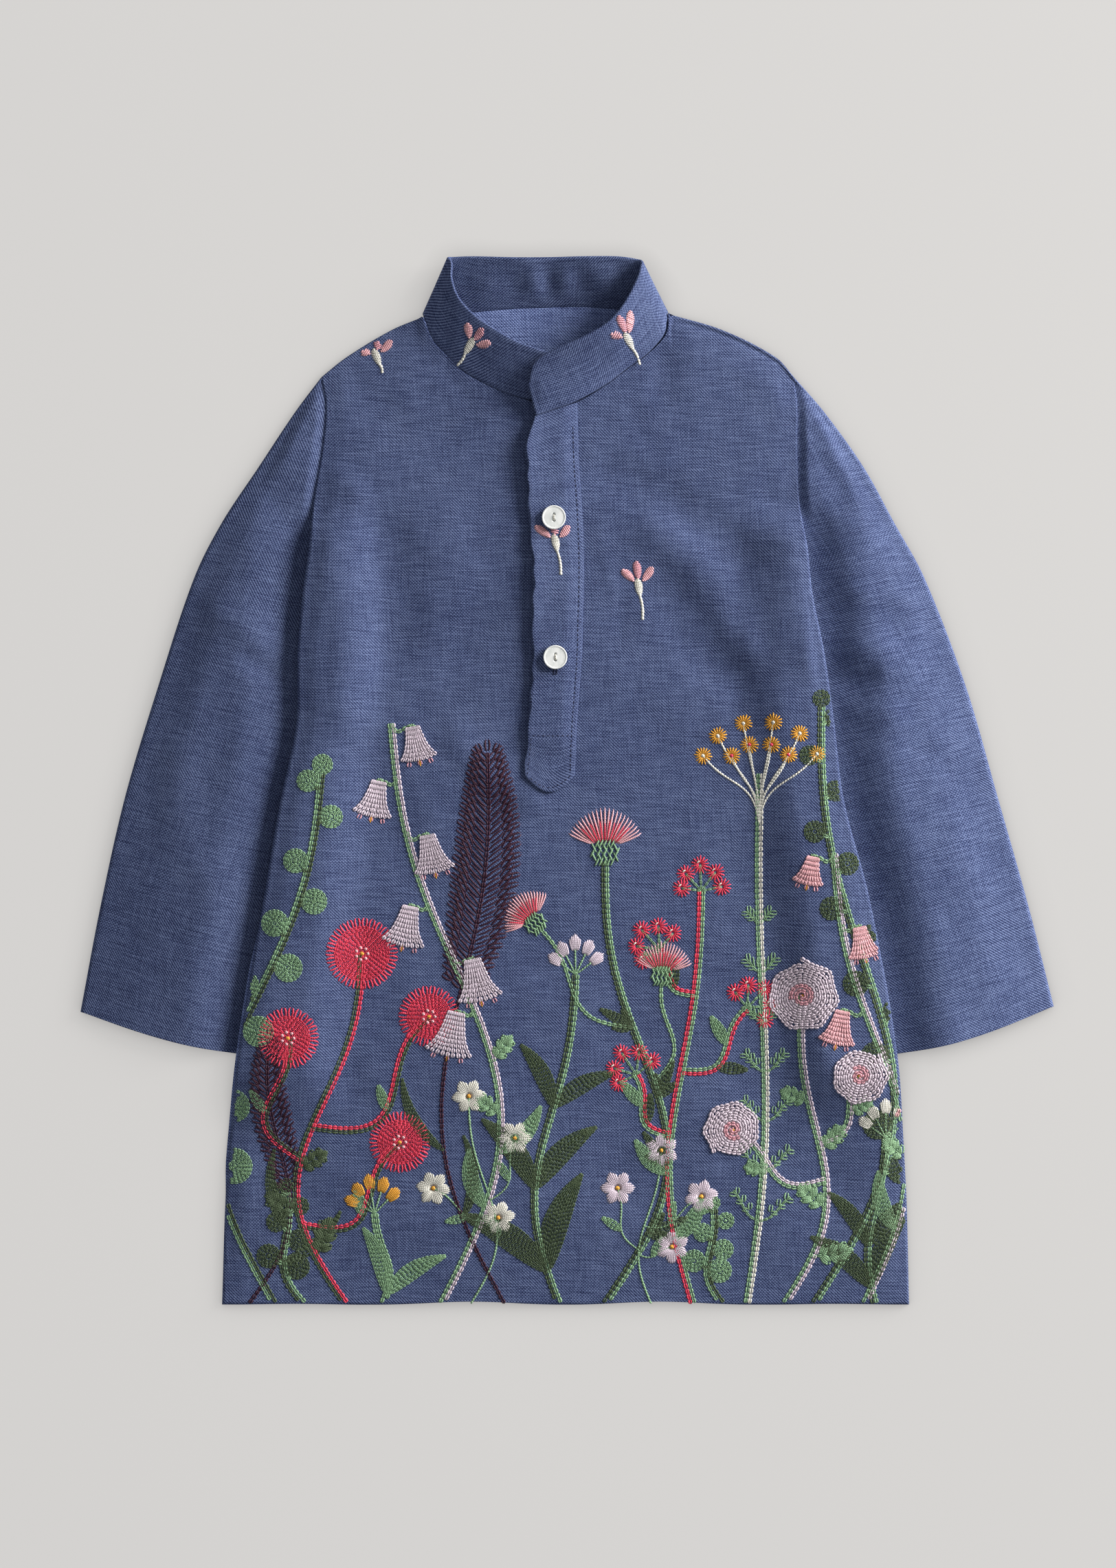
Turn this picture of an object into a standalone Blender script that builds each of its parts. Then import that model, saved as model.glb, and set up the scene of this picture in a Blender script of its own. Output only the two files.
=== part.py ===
"""A toddler's long-sleeved kurta, buttoned and laid flat with its back down.

A front and a back panel lie on each other and meet at the shoulders and sides. Each sleeve is a
flattened tube whose inner edge slips under the body's side. A stand collar rings the neck hole, its
ends crossed at the centre front, and a button placket with two buttons runs down from it.
Lengths are in millimetres and become metres when a mesh is made. X runs across the chest, Y from
the hem up to the collar, Z up from the surface that the kurta lies on.
"""

import math
from bisect import bisect_right
from typing import NamedTuple

import bmesh
import bpy
from mathutils import Vector

METRES = 0.001

PANEL_THICKNESS = 1.2
SLEEVE_THICKNESS = 1.2
COLLAR_THICKNESS = 1.6
PLACKET_THICKNESS = 1.2
STAND_THICKNESS = 1.0
SEAM_GAP = 0.3
ARMHOLE_GAP = 0.65
LAYER_GAP = 0.4

HEM_HEIGHT = -250.0
HEM_WAVE = 0.4
HEM_WAVES = 3.5
FLOOR_HEIGHT = -168.0
CUFF_HEIGHT = -136.0
UNDERARM_HEIGHT = 112.0
TIP_HEIGHT = 193.5

SLIT_BOTTOM = 22.0

SLEEVE_EDGE = 4.0
SLEEVE_TIP_EDGE = 2.8
BODY_LIFT = 4.3
LIFT_FLAT = 9.0
LIFT_RAMP = 26.0
ARMHOLE_RAMP = 24.0

PUFF_REST = 1.7
PUFF_MOST = 3.4
SLEEVE_PUFF_REST = 1.1
SLEEVE_PUFF_MOST = 2.2
ARMHOLE_PUFF = 0.55
SEAM_EASE = 16.0
SHOULDER_EASE = 18.0
HEM_EASE = 45.0

BUTTON_RADIUS = 5.7
BUTTON_HEIGHT = 2.0
BUTTON_HOLE_RADIUS = 0.85
BUTTON_HOLE_APART = 3.0
BUTTON_CENTRES = ((-6.4, 126.0), (-5.7, 59.4))


class BodySection(NamedTuple):
    """The body's two edges at one height: side seams below the underarm, armholes above it."""

    place: str
    height: float
    left: float
    right: float


class TuckSection(NamedTuple):
    """Where each sleeve's inner edge lies under the body at one height."""

    place: str
    height: float
    left: float
    right: float


class NeckPoint(NamedTuple):
    """A point on a neckline or a shoulder seam."""

    place: str
    x: float
    y: float


class EdgePoint(NamedTuple):
    """A point on a sleeve's outer edge, from the shoulder tip to the cuff."""

    x: float
    y: float


class CollarSection(NamedTuple):
    """The collar band cut across: its sewn base and its free top edge, at the wall's middle."""

    place: str
    base_x: float
    base_y: float
    base_z: float
    top_x: float
    top_y: float
    top_z: float


class PlacketSection(NamedTuple):
    """The placket strip cut across: its free edge, its stitched edge and the free edge's lift."""

    place: str
    free_x: float
    free_y: float
    sewn_x: float
    sewn_y: float
    lift: float


class Fold(NamedTuple):
    """A soft ridge (height above 0) or trough along a line, bowed sideways by bend."""

    place: str
    x0: float
    y0: float
    x1: float
    y1: float
    bend: float
    half_width: float
    height: float


BODY_SECTIONS = (
    BodySection("hem", -250.0, -165.1, 163.5),
    BodySection("above hem", -191.0, -162.9, 161.9),
    BodySection("thigh", -126.0, -156.3, 156.9),
    BodySection("hip", -54.0, -144.5, 143.8),
    BodySection("low waist", -9.0, -136.8, 132.0),
    BodySection("waist", 28.0, -129.2, 127.4),
    BodySection("ribs", 62.0, -128.6, 122.6),
    BodySection("chest", 90.0, -126.2, 117.0),
    BodySection("underarm", 112.0, -123.2, 114.6),
    BodySection("low armhole", 134.0, -121.2, 111.0),
    BodySection("armhole", 160.0, -117.0, 110.0),
    BodySection("high armhole", 180.0, -115.4, 110.0),
    BodySection("shoulder tip", 193.5, -117.6, 108.5),
)

TUCK_SECTIONS = (
    TuckSection("cuff", -133.0, -136.3, 136.0),
    TuckSection("forearm", -60.0, -130.0, 127.0),
    TuckSection("elbow", 0.0, -124.0, 118.5),
    TuckSection("upper arm", 60.0, -120.5, 113.5),
    TuckSection("underarm", 112.0, -123.5, 114.9),
)

LEFT_SHOULDER = (
    NeckPoint("tip", -117.6, 193.5),
    NeckPoint("sleeve side", -105.8, 202.9),
    NeckPoint("neck side", -84.5, 215.8),
    NeckPoint("neck", -69.4, 222.2),
)
RIGHT_SHOULDER = (
    NeckPoint("neck", 49.0, 223.6),
    NeckPoint("neck side", 74.9, 215.8),
    NeckPoint("sleeve side", 99.9, 202.9),
    NeckPoint("tip", 108.5, 193.5),
)
FRONT_NECK_LEFT = (
    NeckPoint("shoulder", -69.4, 222.2),
    NeckPoint("side", -65.4, 211.9),
    NeckPoint("turn", -58.4, 202.6),
    NeckPoint("lower", -48.9, 195.3),
    NeckPoint("low", -36.4, 188.6),
    NeckPoint("near slit", -20.0, 182.6),
    NeckPoint("slit", -6.4, 179.6),
)
FRONT_NECK_RIGHT = (
    NeckPoint("slit", -5.6, 179.4),
    NeckPoint("near slit", 3.8, 181.0),
    NeckPoint("low", 18.7, 189.6),
    NeckPoint("lower", 28.7, 197.2),
    NeckPoint("turn", 38.2, 204.1),
    NeckPoint("side", 47.0, 213.6),
    NeckPoint("shoulder", 49.0, 223.6),
)
BACK_NECK_LEFT = (
    NeckPoint("shoulder", -69.4, 222.2),
    NeckPoint("side", -47.0, 224.3),
    NeckPoint("inner", -25.4, 226.2),
    NeckPoint("middle", -6.0, 226.9),
)
BACK_NECK_RIGHT = (
    NeckPoint("middle", -6.0, 226.9),
    NeckPoint("inner", 9.0, 227.1),
    NeckPoint("side", 27.4, 225.6),
    NeckPoint("shoulder", 49.0, 223.6),
)

LEFT_OUTER_EDGE = (
    EdgePoint(-117.9, 193.2),
    EdgePoint(-130.4, 176.5),
    EdgePoint(-147.8, 150.2),
    EdgePoint(-165.1, 124.0),
    EdgePoint(-178.3, 97.7),
    EdgePoint(-195.7, 45.3),
    EdgePoint(-211.4, -7.2),
    EdgePoint(-223.2, -59.7),
    EdgePoint(-232.7, -109.9),
)
RIGHT_OUTER_EDGE = (
    EdgePoint(108.8, 193.2),
    EdgePoint(123.2, 176.5),
    EdgePoint(141.9, 150.2),
    EdgePoint(156.3, 124.0),
    EdgePoint(170.7, 97.7),
    EdgePoint(190.7, 45.3),
    EdgePoint(205.8, -7.2),
    EdgePoint(220.6, -59.7),
    EdgePoint(232.6, -107.3),
)
LEFT_CUFF_BOW = 3.4
RIGHT_CUFF_BOW = 4.5
OUTER_START = 0.021
OUTER_UNDERARM = 0.27
ARMHOLE_START = 0.055

COLLAR_SECTIONS = (
    CollarSection("hidden left end", -9.5, 181.9, 4.9, -8.5, 203.6, 11.6),
    CollarSection("left of centre", -23.8, 184.7, 4.4, -23.8, 208.9, 12.2),
    CollarSection("low left", -36.2, 189.4, 4.2, -37.0, 216.4, 12.8),
    CollarSection("lower left", -48.5, 196.2, 4.0, -45.8, 223.0, 13.4),
    CollarSection("left turn", -57.1, 204.0, 4.0, -51.9, 230.2, 13.6),
    CollarSection("left side", -64.2, 212.4, 3.9, -55.0, 238.8, 13.6),
    CollarSection("left fold, front", -67.0, 219.8, 3.9, -55.0, 246.0, 13.0),
    CollarSection("left fold", -68.1, 223.3, 2.4, -56.6, 248.8, 10.9),
    CollarSection("left fold, back", -66.2, 224.0, 0.9, -54.6, 249.4, 8.8),
    CollarSection("back, left", -47.0, 225.0, 0.8, -44.0, 249.6, 9.2),
    CollarSection("back, left ripple", -25.4, 226.9, 0.8, -24.0, 249.0, 10.4),
    CollarSection("back, middle", -8.0, 227.6, 0.8, -8.0, 249.2, 9.4),
    CollarSection("back, right ripple", 9.0, 227.8, 0.8, 8.0, 249.5, 10.2),
    CollarSection("back, right", 27.4, 226.3, 0.8, 24.0, 249.5, 9.8),
    CollarSection("right fold, back", 45.4, 225.2, 0.9, 33.4, 248.2, 10.2),
    CollarSection("right fold", 47.3, 223.6, 2.4, 35.6, 246.6, 13.0),
    CollarSection("right fold, front", 46.8, 219.6, 4.0, 35.0, 243.6, 15.6),
    CollarSection("right side", 45.4, 213.6, 4.3, 33.0, 237.6, 16.6),
    CollarSection("right turn", 37.6, 204.8, 4.6, 26.6, 225.6, 17.8),
    CollarSection("lower right", 28.1, 197.9, 5.2, 18.8, 217.0, 18.2),
    CollarSection("low right", 18.3, 190.3, 6.0, 7.0, 210.2, 17.8),
    CollarSection("right of centre", 3.4, 181.9, 7.4, -6.7, 204.2, 16.4),
    CollarSection("right end, corner", -6.6, 178.2, 8.0, -15.4, 198.4, 14.8),
    CollarSection("right end", -14.4, 175.2, 8.3, -18.0, 189.6, 12.2),
)

PLACKET_SECTIONS = (
    PlacketSection("neck", -15.0, 174.2, 4.2, 180.6, 1.8),
    PlacketSection("below collar", -18.5, 164.0, 4.5, 170.0, 3.2),
    PlacketSection("upper", -18.4, 150.0, 5.0, 152.0, 3.0),
    PlacketSection("first button", -17.6, 126.0, 6.8, 126.0, 0.8),
    PlacketSection("between buttons", -15.4, 100.0, 7.4, 100.0, 2.2),
    PlacketSection("above second", -16.2, 78.0, 6.9, 78.0, 1.4),
    PlacketSection("second button", -15.8, 59.4, 6.4, 59.4, 0.7),
    PlacketSection("bar", -18.0, 26.0, 4.0, 26.0, 0.3),
    PlacketSection("toe", -20.4, 3.0, 3.2, 3.0, 0.1),
)
PLACKET_TOE = 7.5
STAND_INSET = (0.6, 9.0)
STAND_BOTTOM = 24.0
STAND_RUN_OUT = 14.0
STAND_SIDE = (0.64, 1.0)

BODY_FOLDS = (
    Fold("left side ridge", -103.0, 136.0, -104.0, 34.0, -3.0, 10.0, 1.2),
    Fold("left side trough", -85.0, 116.0, -84.0, 58.0, -5.0, 10.0, -1.0),
    Fold("left chest swell", -62.0, 124.0, -58.0, 94.0, 0.0, 18.0, 0.9),
    Fold("left rib trough", -72.0, 62.0, -44.0, 78.0, 4.0, 12.0, -1.0),
    Fold("left shoulder hollow", -98.0, 188.0, -62.0, 168.0, 4.0, 13.0, -0.7),
    Fold("left belly ridge", -52.0, 20.0, -20.0, -6.0, 3.0, 9.0, 1.0),
    Fold("right chest trough", 19.0, 146.0, 84.0, 108.0, -5.0, 8.5, -1.5),
    Fold("right chest ridge", 44.0, 118.0, 84.0, 64.0, -6.0, 9.5, 1.5),
    Fold("right rib trough", 46.0, 92.0, 79.0, 48.0, 3.0, 10.0, -1.5),
    Fold("right neck trough", 46.0, 213.0, 45.0, 189.0, 0.0, 7.5, -1.0),
    Fold("right armhole trough", 102.0, 132.0, 100.0, 54.0, 2.0, 9.0, -1.2),
    Fold("right waist swell", 84.0, 20.0, 104.0, -30.0, 0.0, 22.0, 0.8),
    Fold("left waist trough", -96.0, 6.0, -74.0, -44.0, 5.0, 16.0, -0.9),
    Fold("skirt swell", -40.0, -110.0, -30.0, -190.0, 6.0, 26.0, 0.8),
    Fold("skirt hollow", 34.0, -90.0, 26.0, -180.0, -5.0, 24.0, -0.8),
    Fold("low right crease", 88.0, -140.0, 126.0, -196.0, 3.0, 12.0, -0.9),
    Fold("low right swell", 112.0, -120.0, 148.0, -170.0, 0.0, 13.0, 0.8),
    Fold("low left hollow", -142.0, -186.0, -112.0, -222.0, -3.0, 16.0, -0.7),
)
SLEEVE_FOLDS = (
    Fold("left cap crest", -121.0, 178.0, -136.0, 150.0, 0.0, 10.0, 0.8),
    Fold("left cap hollow", -134.0, 142.0, -140.0, 92.0, -3.0, 11.0, -0.9),
    Fold("left arm ridge", -166.0, 84.0, -184.0, 16.0, 3.0, 13.0, 0.7),
    Fold("left arm hollow", -152.0, 40.0, -166.0, -30.0, 3.0, 12.0, -0.8),
    Fold("left forearm swell", -190.0, 10.0, -176.0, -40.0, 4.0, 12.0, 0.6),
    Fold("right cap dimple", 120.0, 150.0, 127.0, 142.0, 0.0, 8.0, -0.9),
    Fold("right cap crest", 124.0, 170.0, 146.0, 134.0, 4.0, 9.0, 0.7),
    Fold("right arm crease", 120.0, 80.0, 162.0, 73.0, -4.0, 8.0, -0.9),
    Fold("right arm ridge", 130.0, 62.0, 160.0, 54.0, -3.0, 9.0, 0.7),
    Fold("right arm wedge", 126.0, 51.0, 143.0, 39.0, 0.0, 7.0, -0.9),
    Fold("right forearm swell", 184.0, -20.0, 200.0, -84.0, 0.0, 18.0, 0.6),
)

COLUMN_SPANS = ((0.0, 0.21, 6), (0.21, 0.485, 5), (0.485, 0.487, 1), (0.487, 0.735, 5), (0.735, 1.0, 6))
SIDE_CROWDING = 0.78
SLIT_COLUMN = 11
ROW_SPANS = (
    (HEM_HEIGHT, FLOOR_HEIGHT, 5),
    (FLOOR_HEIGHT, CUFF_HEIGHT, 3),
    (CUFF_HEIGHT, UNDERARM_HEIGHT, 15),
    (UNDERARM_HEIGHT, TIP_HEIGHT, 6),
)
SLEEVE_ACROSS = 8
SLEEVE_ROWS = (5, 15)
COLLAR_STEPS = 2
COLLAR_ACROSS = 4
PLACKET_STEPS = 3
PLACKET_ACROSS = 5

CLOTH_BLUE = (0.085, 0.106, 0.205)
SHADED_BLUE = (0.060, 0.074, 0.146)
BUTTON_WHITE = (0.78, 0.77, 0.72)


def eased(start, end, value):
    """A smooth step from 0 at start to 1 at end."""
    t = min(max((value - start) / (end - start), 0.0), 1.0)
    return t * t * (3.0 - 2.0 * t)


def mix(a, b, share):
    """The value a share of the way from a to b."""
    return a + (b - a) * share


def spline(keys, values, at):
    """The smooth curve through (keys, values) at one key, held level past its ends."""
    if at <= keys[0]:
        return values[0]
    if at >= keys[-1]:
        return values[-1]
    i = bisect_right(keys, at) - 1
    span = keys[i + 1] - keys[i]
    t = (at - keys[i]) / span

    def slope(k):
        low, high = max(k - 1, 0), min(k + 1, len(keys) - 1)
        return (values[high] - values[low]) / (keys[high] - keys[low]) * span

    a, b = values[i], values[i + 1]
    return (
        a * (1 + 2 * t) * (1 - t) ** 2
        + b * t * t * (3 - 2 * t)
        + slope(i) * t * (1 - t) ** 2
        - slope(i + 1) * t * t * (1 - t)
    )


class Path:
    """A smooth plan curve through points, read at a share of its length."""

    def __init__(self, points):
        self.xs = [p.x for p in points]
        self.ys = [p.y for p in points]
        self.keys = [0.0]
        for a, b in zip(points, points[1:]):
            self.keys.append(self.keys[-1] + math.hypot(b.x - a.x, b.y - a.y))

    def at(self, share):
        along = share * self.keys[-1]
        return Vector((spline(self.keys, self.xs, along), spline(self.keys, self.ys, along)))


def body_edge(height, side):
    """The body's edge at a height: side is -1 at the left and 1 at the right."""
    values = [s.left if side < 0 else s.right for s in BODY_SECTIONS]
    return spline([s.height for s in BODY_SECTIONS], values, height)


def tuck_edge(height, side):
    """The sleeve's hidden inner edge at a height."""
    values = [s.left if side < 0 else s.right for s in TUCK_SECTIONS]
    return spline([s.height for s in TUCK_SECTIONS], values, height)


def shoulder_height(x):
    """The height of the shoulder line above x, far up over the neck hole."""
    if x < LEFT_SHOULDER[-1].x:
        line = LEFT_SHOULDER
    elif x > RIGHT_SHOULDER[0].x:
        line = RIGHT_SHOULDER
    else:
        return TIP_HEIGHT * 2
    return spline([p.x for p in line], [p.y for p in line], x)


def fold_height(folds, x, y):
    """The sum of the soft ridges and troughs at a point."""
    total = 0.0
    for fold in folds:
        run_x, run_y = fold.x1 - fold.x0, fold.y1 - fold.y0
        length = math.hypot(run_x, run_y)
        along = ((x - fold.x0) * run_x + (y - fold.y0) * run_y) / length
        across = ((x - fold.x0) * run_y - (y - fold.y0) * run_x) / length
        share = min(max(along / length, 0.0), 1.0)
        past = max(-along, along - length, 0.0)
        across -= fold.bend * 4.0 * share * (1.0 - share)
        total += fold.height * math.exp(-(across**2 + past**2) / fold.half_width**2)
    return total


def soft_limit(value, most):
    """A value kept between 0 and most without a corner."""
    return 0.5 * most * (1.0 + math.tanh(2.0 * value / most - 1.0))


def body_lift(x, y):
    """How high the sleeves' inner edges hold the body up at a point."""
    near_arm = 1.0 - eased(UNDERARM_HEIGHT + 0.5, UNDERARM_HEIGHT + ARMHOLE_RAMP, y)
    near_cuff = eased(FLOOR_HEIGHT, CUFF_HEIGHT, y)
    inside = min(x - tuck_edge(y, -1), tuck_edge(y, 1) - x)
    return BODY_LIFT * near_arm * near_cuff * (1.0 - eased(LIFT_FLAT, LIFT_FLAT + LIFT_RAMP, inside))


def front_puff(x, y):
    """The air between the front and the back at a point, above the seam's own gap."""
    side = min(x - body_edge(y, -1), body_edge(y, 1) - x)
    open_armhole = ARMHOLE_PUFF * eased(UNDERARM_HEIGHT + 2.0, UNDERARM_HEIGHT + 24.0, y)
    open_armhole *= 1.0 - eased(TIP_HEIGHT - 18.0, TIP_HEIGHT, y)
    ease = mix(open_armhole, 1.0, eased(0.0, SEAM_EASE, side))
    ease *= eased(0.0, SHOULDER_EASE, shoulder_height(x) - y)
    ease *= mix(0.3, 1.0, eased(0.0, HEM_EASE, y - HEM_HEIGHT))
    return ease * soft_limit(PUFF_REST + fold_height(BODY_FOLDS, x, y), PUFF_MOST)


def back_underside(x, y):
    """The height of the back panel's lower face."""
    return body_lift(x, y)


def front_underside(x, y):
    """The height of the front panel's lower face."""
    return body_lift(x, y) + PANEL_THICKNESS + LAYER_GAP + front_puff(x, y)


def front_top(x, y):
    """The height of the front panel's upper face."""
    return front_underside(x, y) + PANEL_THICKNESS


def sleeve_edge(height):
    """The sleeve's thickness at its folded edges, thinnest at the shoulder tip."""
    return mix(SLEEVE_EDGE, SLEEVE_TIP_EDGE, eased(UNDERARM_HEIGHT, TIP_HEIGHT, height))


def sleeve_puff(x, y, side, share):
    """A sleeve's upper face above its edges; share runs from the outer edge to the inner one."""
    outside = side * (x - body_edge(y, side))
    at_armhole = 0.15 * eased(UNDERARM_HEIGHT, UNDERARM_HEIGHT + 20.0, y)
    ease = mix(at_armhole, 1.0, eased(1.0, 18.0, outside)) * eased(0.0, 0.3, share)
    puff = soft_limit(SLEEVE_PUFF_REST + fold_height(SLEEVE_FOLDS, x, y), SLEEVE_PUFF_MOST)
    return ease * puff


def spread(spans):
    """The stations along spans given as (start, end, count)."""
    stations = [spans[0][0]]
    for start, end, count in spans:
        stations += [mix(start, end, (k + 1) / count) for k in range(count)]
    return stations


def crowded(share):
    """A share across the body, moved towards the nearer side where the body rides up."""
    side_width = COLUMN_SPANS[0][1]
    if share < side_width:
        return side_width * (share / side_width) ** (1.0 / SIDE_CROWDING)
    far = 1.0 - share
    side_width = 1.0 - COLUMN_SPANS[-1][0]
    if far < side_width:
        return 1.0 - side_width * (far / side_width) ** (1.0 / SIDE_CROWDING)
    return share


def panel_plan(neck_left, neck_right, share, height):
    """The plan point of a panel at a share across and a height up its side edge."""
    rise = (height - HEM_HEIGHT) / (TIP_HEIGHT - HEM_HEIGHT)
    ends = (COLUMN_SPANS[0][1], COLUMN_SPANS[2][0], COLUMN_SPANS[2][1], COLUMN_SPANS[-1][0])
    if share <= ends[0]:
        top = Path(LEFT_SHOULDER).at(share / ends[0])
    elif share <= ends[1]:
        top = Path(neck_left).at((share - ends[0]) / (ends[1] - ends[0]))
    elif share < ends[3]:
        top = Path(neck_right).at((share - ends[2]) / (ends[3] - ends[2]))
    else:
        top = Path(RIGHT_SHOULDER).at((share - ends[3]) / (1.0 - ends[3]))
    hem_left, hem_right = body_edge(HEM_HEIGHT, -1), body_edge(HEM_HEIGHT, 1)
    wave = HEM_WAVE * math.sin(math.pi * share) * (1.0 + math.sin(HEM_WAVES * math.tau * share))
    hem = Vector((mix(hem_left, hem_right, share), HEM_HEIGHT + wave))
    left = Vector((body_edge(height, -1), height))
    right = Vector((body_edge(height, 1), height))
    tip_left = Vector((LEFT_SHOULDER[0].x, TIP_HEIGHT))
    tip_right = Vector((RIGHT_SHOULDER[-1].x, TIP_HEIGHT))
    flat_hem = Vector((hem.x, HEM_HEIGHT))
    corners = flat_hem.lerp(tip_left.lerp(tip_right, share), rise)
    return hem.lerp(top, rise) + left.lerp(right, share) - corners


def material(name, colour, roughness):
    made = bpy.data.materials.new(name)
    made.use_nodes = True
    shader = made.node_tree.nodes["Principled BSDF"]
    shader.inputs["Base Color"].default_value = (*colour, 1.0)
    shader.inputs["Roughness"].default_value = roughness
    shader.inputs["Metallic"].default_value = 0.0
    return made


def add_object(name, mesh_data, collection, finish):
    piece = bpy.data.objects.new(name, mesh_data)
    piece.data.materials.append(finish)
    collection.objects.link(piece)
    return piece


def sheet_from_rows(name, rows, keep, collection, finish, closed=False):
    """An open surface through rows of points; keep(row, column) says which faces it has."""
    surface = bmesh.new()
    grid = [[surface.verts.new(point * METRES) for point in row] for row in rows]
    width = len(grid[0]) if closed else len(grid[0]) - 1
    for r in range(len(grid) - 1):
        for c in range(width):
            if keep(r, c):
                d = (c + 1) % len(grid[0])
                surface.faces.new((grid[r][c], grid[r][d], grid[r + 1][d], grid[r + 1][c]))
    loose = [v for v in surface.verts if not v.link_faces]
    bmesh.ops.delete(surface, geom=loose, context="VERTS")
    mesh_data = bpy.data.meshes.new(name)
    surface.to_mesh(mesh_data)
    surface.free()
    mesh_data.shade_smooth()
    return add_object(name, mesh_data, collection, finish)


def thicken(piece, thickness, offset):
    """A wall on an open surface: offset 1 grows it along the normals, -1 against them."""
    wall = piece.modifiers.new("wall", "SOLIDIFY")
    wall.thickness = thickness * METRES
    wall.offset = offset
    wall.use_even_offset = True


def build_panel(name, neck_left, neck_right, height_of, slit, collection, finish):
    """A body panel on its plan grid, with the placket slit left out where it has one."""
    columns = [crowded(share) for share in spread(COLUMN_SPANS)]
    heights = spread(ROW_SPANS)
    rows = []
    for height in heights:
        row = []
        for share in columns:
            plan = panel_plan(neck_left, neck_right, share, height)
            row.append(Vector((plan.x, plan.y, height_of(plan.x, plan.y))))
        rows.append(row)

    def keep(r, c):
        return not (slit and c == SLIT_COLUMN and rows[r][c].y > SLIT_BOTTOM)

    panel = sheet_from_rows(name, rows, keep, collection, finish)
    thicken(panel, PANEL_THICKNESS, 1.0)
    return panel


def armhole_path(side):
    """The sleeve's armhole edge from the shoulder tip to the underarm, a seam's gap off the body."""
    points = []
    for section in reversed(BODY_SECTIONS):
        if section.height >= UNDERARM_HEIGHT:
            edge = section.left if side < 0 else section.right
            points.append(NeckPoint(section.place, edge + side * ARMHOLE_GAP, section.height))
    return Path(points)


def tuck_path(side):
    """The sleeve's inner edge from the underarm down to the cuff."""
    points = []
    for section in reversed(TUCK_SECTIONS):
        edge = section.left if side < 0 else section.right
        points.append(NeckPoint(section.place, edge, section.height))
    return Path(points)


def sleeve_row(outer, inner, bow, side, closed_inside):
    """One ring of a sleeve: over the top from the inner edge, round the outer fold and back below."""
    across = (inner - outer).normalized()
    thickness = sleeve_edge(inner.y)
    radius = 0.5 * thickness
    begin = outer + across * radius
    end = inner - across * radius if closed_inside else inner
    upper, lower = [], []
    for k in range(SLEEVE_ACROSS + 1):
        share = k / SLEEVE_ACROSS
        plan = begin.lerp(end, share)
        plan.y -= bow * math.sin(math.pi * share)
        top = thickness + sleeve_puff(plan.x, plan.y, side, share)
        upper.append(Vector((plan.x, plan.y, top)))
        lower.append(Vector((plan.x, plan.y, 0.0)))
    outer_turn = []
    for angle in (45.0, 90.0, 135.0):
        turn = math.radians(angle)
        plan = begin - across * radius * math.sin(turn)
        outer_turn.append(Vector((plan.x, plan.y, radius * (1.0 + math.cos(turn)))))
    inner_turn = []
    for angle in (45.0, 90.0, 135.0):
        turn = math.radians(angle)
        plan = end + across * radius * math.sin(turn)
        inner_turn.append(Vector((plan.x, plan.y, radius * (1.0 - math.cos(turn)))))
    return upper[::-1] + outer_turn + lower + inner_turn


def build_sleeve(name, side, collection, finish):
    """A sleeve: a flattened tube, open at the cuff and, above the underarm, at the armhole."""
    outer = Path(LEFT_OUTER_EDGE if side < 0 else RIGHT_OUTER_EDGE)
    armhole, tuck = armhole_path(side), tuck_path(side)
    cuff_bow = LEFT_CUFF_BOW if side < 0 else RIGHT_CUFF_BOW
    rows = []
    for k in range(SLEEVE_ROWS[0]):
        share = k / SLEEVE_ROWS[0]
        top = outer.at(mix(OUTER_START, OUTER_UNDERARM, share))
        rows.append(sleeve_row(top, armhole.at(mix(ARMHOLE_START, 1.0, share)), 0.0, side, False))
    for k in range(SLEEVE_ROWS[1] + 1):
        share = k / SLEEVE_ROWS[1]
        top = outer.at(mix(OUTER_UNDERARM, 1.0, share))
        bow = cuff_bow * eased(0.6, 1.0, share)
        rows.append(sleeve_row(top, tuck.at(share), bow, side, True))
    first_turn = 2 * SLEEVE_ACROSS + 4

    def keep(r, c):
        return r >= SLEEVE_ROWS[0] or c < first_turn

    if side > 0:
        rows = [row[::-1] for row in rows]
        last_turn = len(rows[0]) - 1 - first_turn

        def keep(r, c):
            return r >= SLEEVE_ROWS[0] or last_turn <= c < len(rows[0]) - 1

    sleeve = sheet_from_rows(name, rows, keep, collection, finish, closed=True)
    thicken(sleeve, SLEEVE_THICKNESS, -1.0)
    return sleeve


def build_collar(collection, finish):
    """The stand collar: one band from its hidden left end round the back to its right end."""
    keys = list(range(len(COLLAR_SECTIONS)))
    columns = list(zip(*[section[1:] for section in COLLAR_SECTIONS]))
    rows = []
    for k in range(COLLAR_STEPS * (len(keys) - 1) + 1):
        at = k / COLLAR_STEPS
        values = [spline(keys, column, at) for column in columns]
        base, top = Vector(values[:3]), Vector(values[3:])
        rows.append([base.lerp(top, c / COLLAR_ACROSS) for c in range(COLLAR_ACROSS + 1)])
    collar = sheet_from_rows("collar", rows, lambda r, c: True, collection, finish)
    thicken(collar, COLLAR_THICKNESS, 0.0)
    return collar


def placket_section(height_key):
    """The placket's section at a row number, between its listed sections."""
    keys = list(range(len(PLACKET_SECTIONS)))
    columns = list(zip(*[section[1:] for section in PLACKET_SECTIONS]))
    return [spline(keys, column, height_key) for column in columns]


def placket_underside(x, y, share):
    """The height of the overlap's lower face, over the stand or, past it, down on the front."""
    over_stand = 1.0 - eased(*STAND_SIDE, share)
    over_stand *= eased(STAND_BOTTOM - STAND_RUN_OUT, STAND_BOTTOM - 1.0, y)
    return front_top(x, y) + LAYER_GAP + over_stand * (STAND_THICKNESS + LAYER_GAP)


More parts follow.
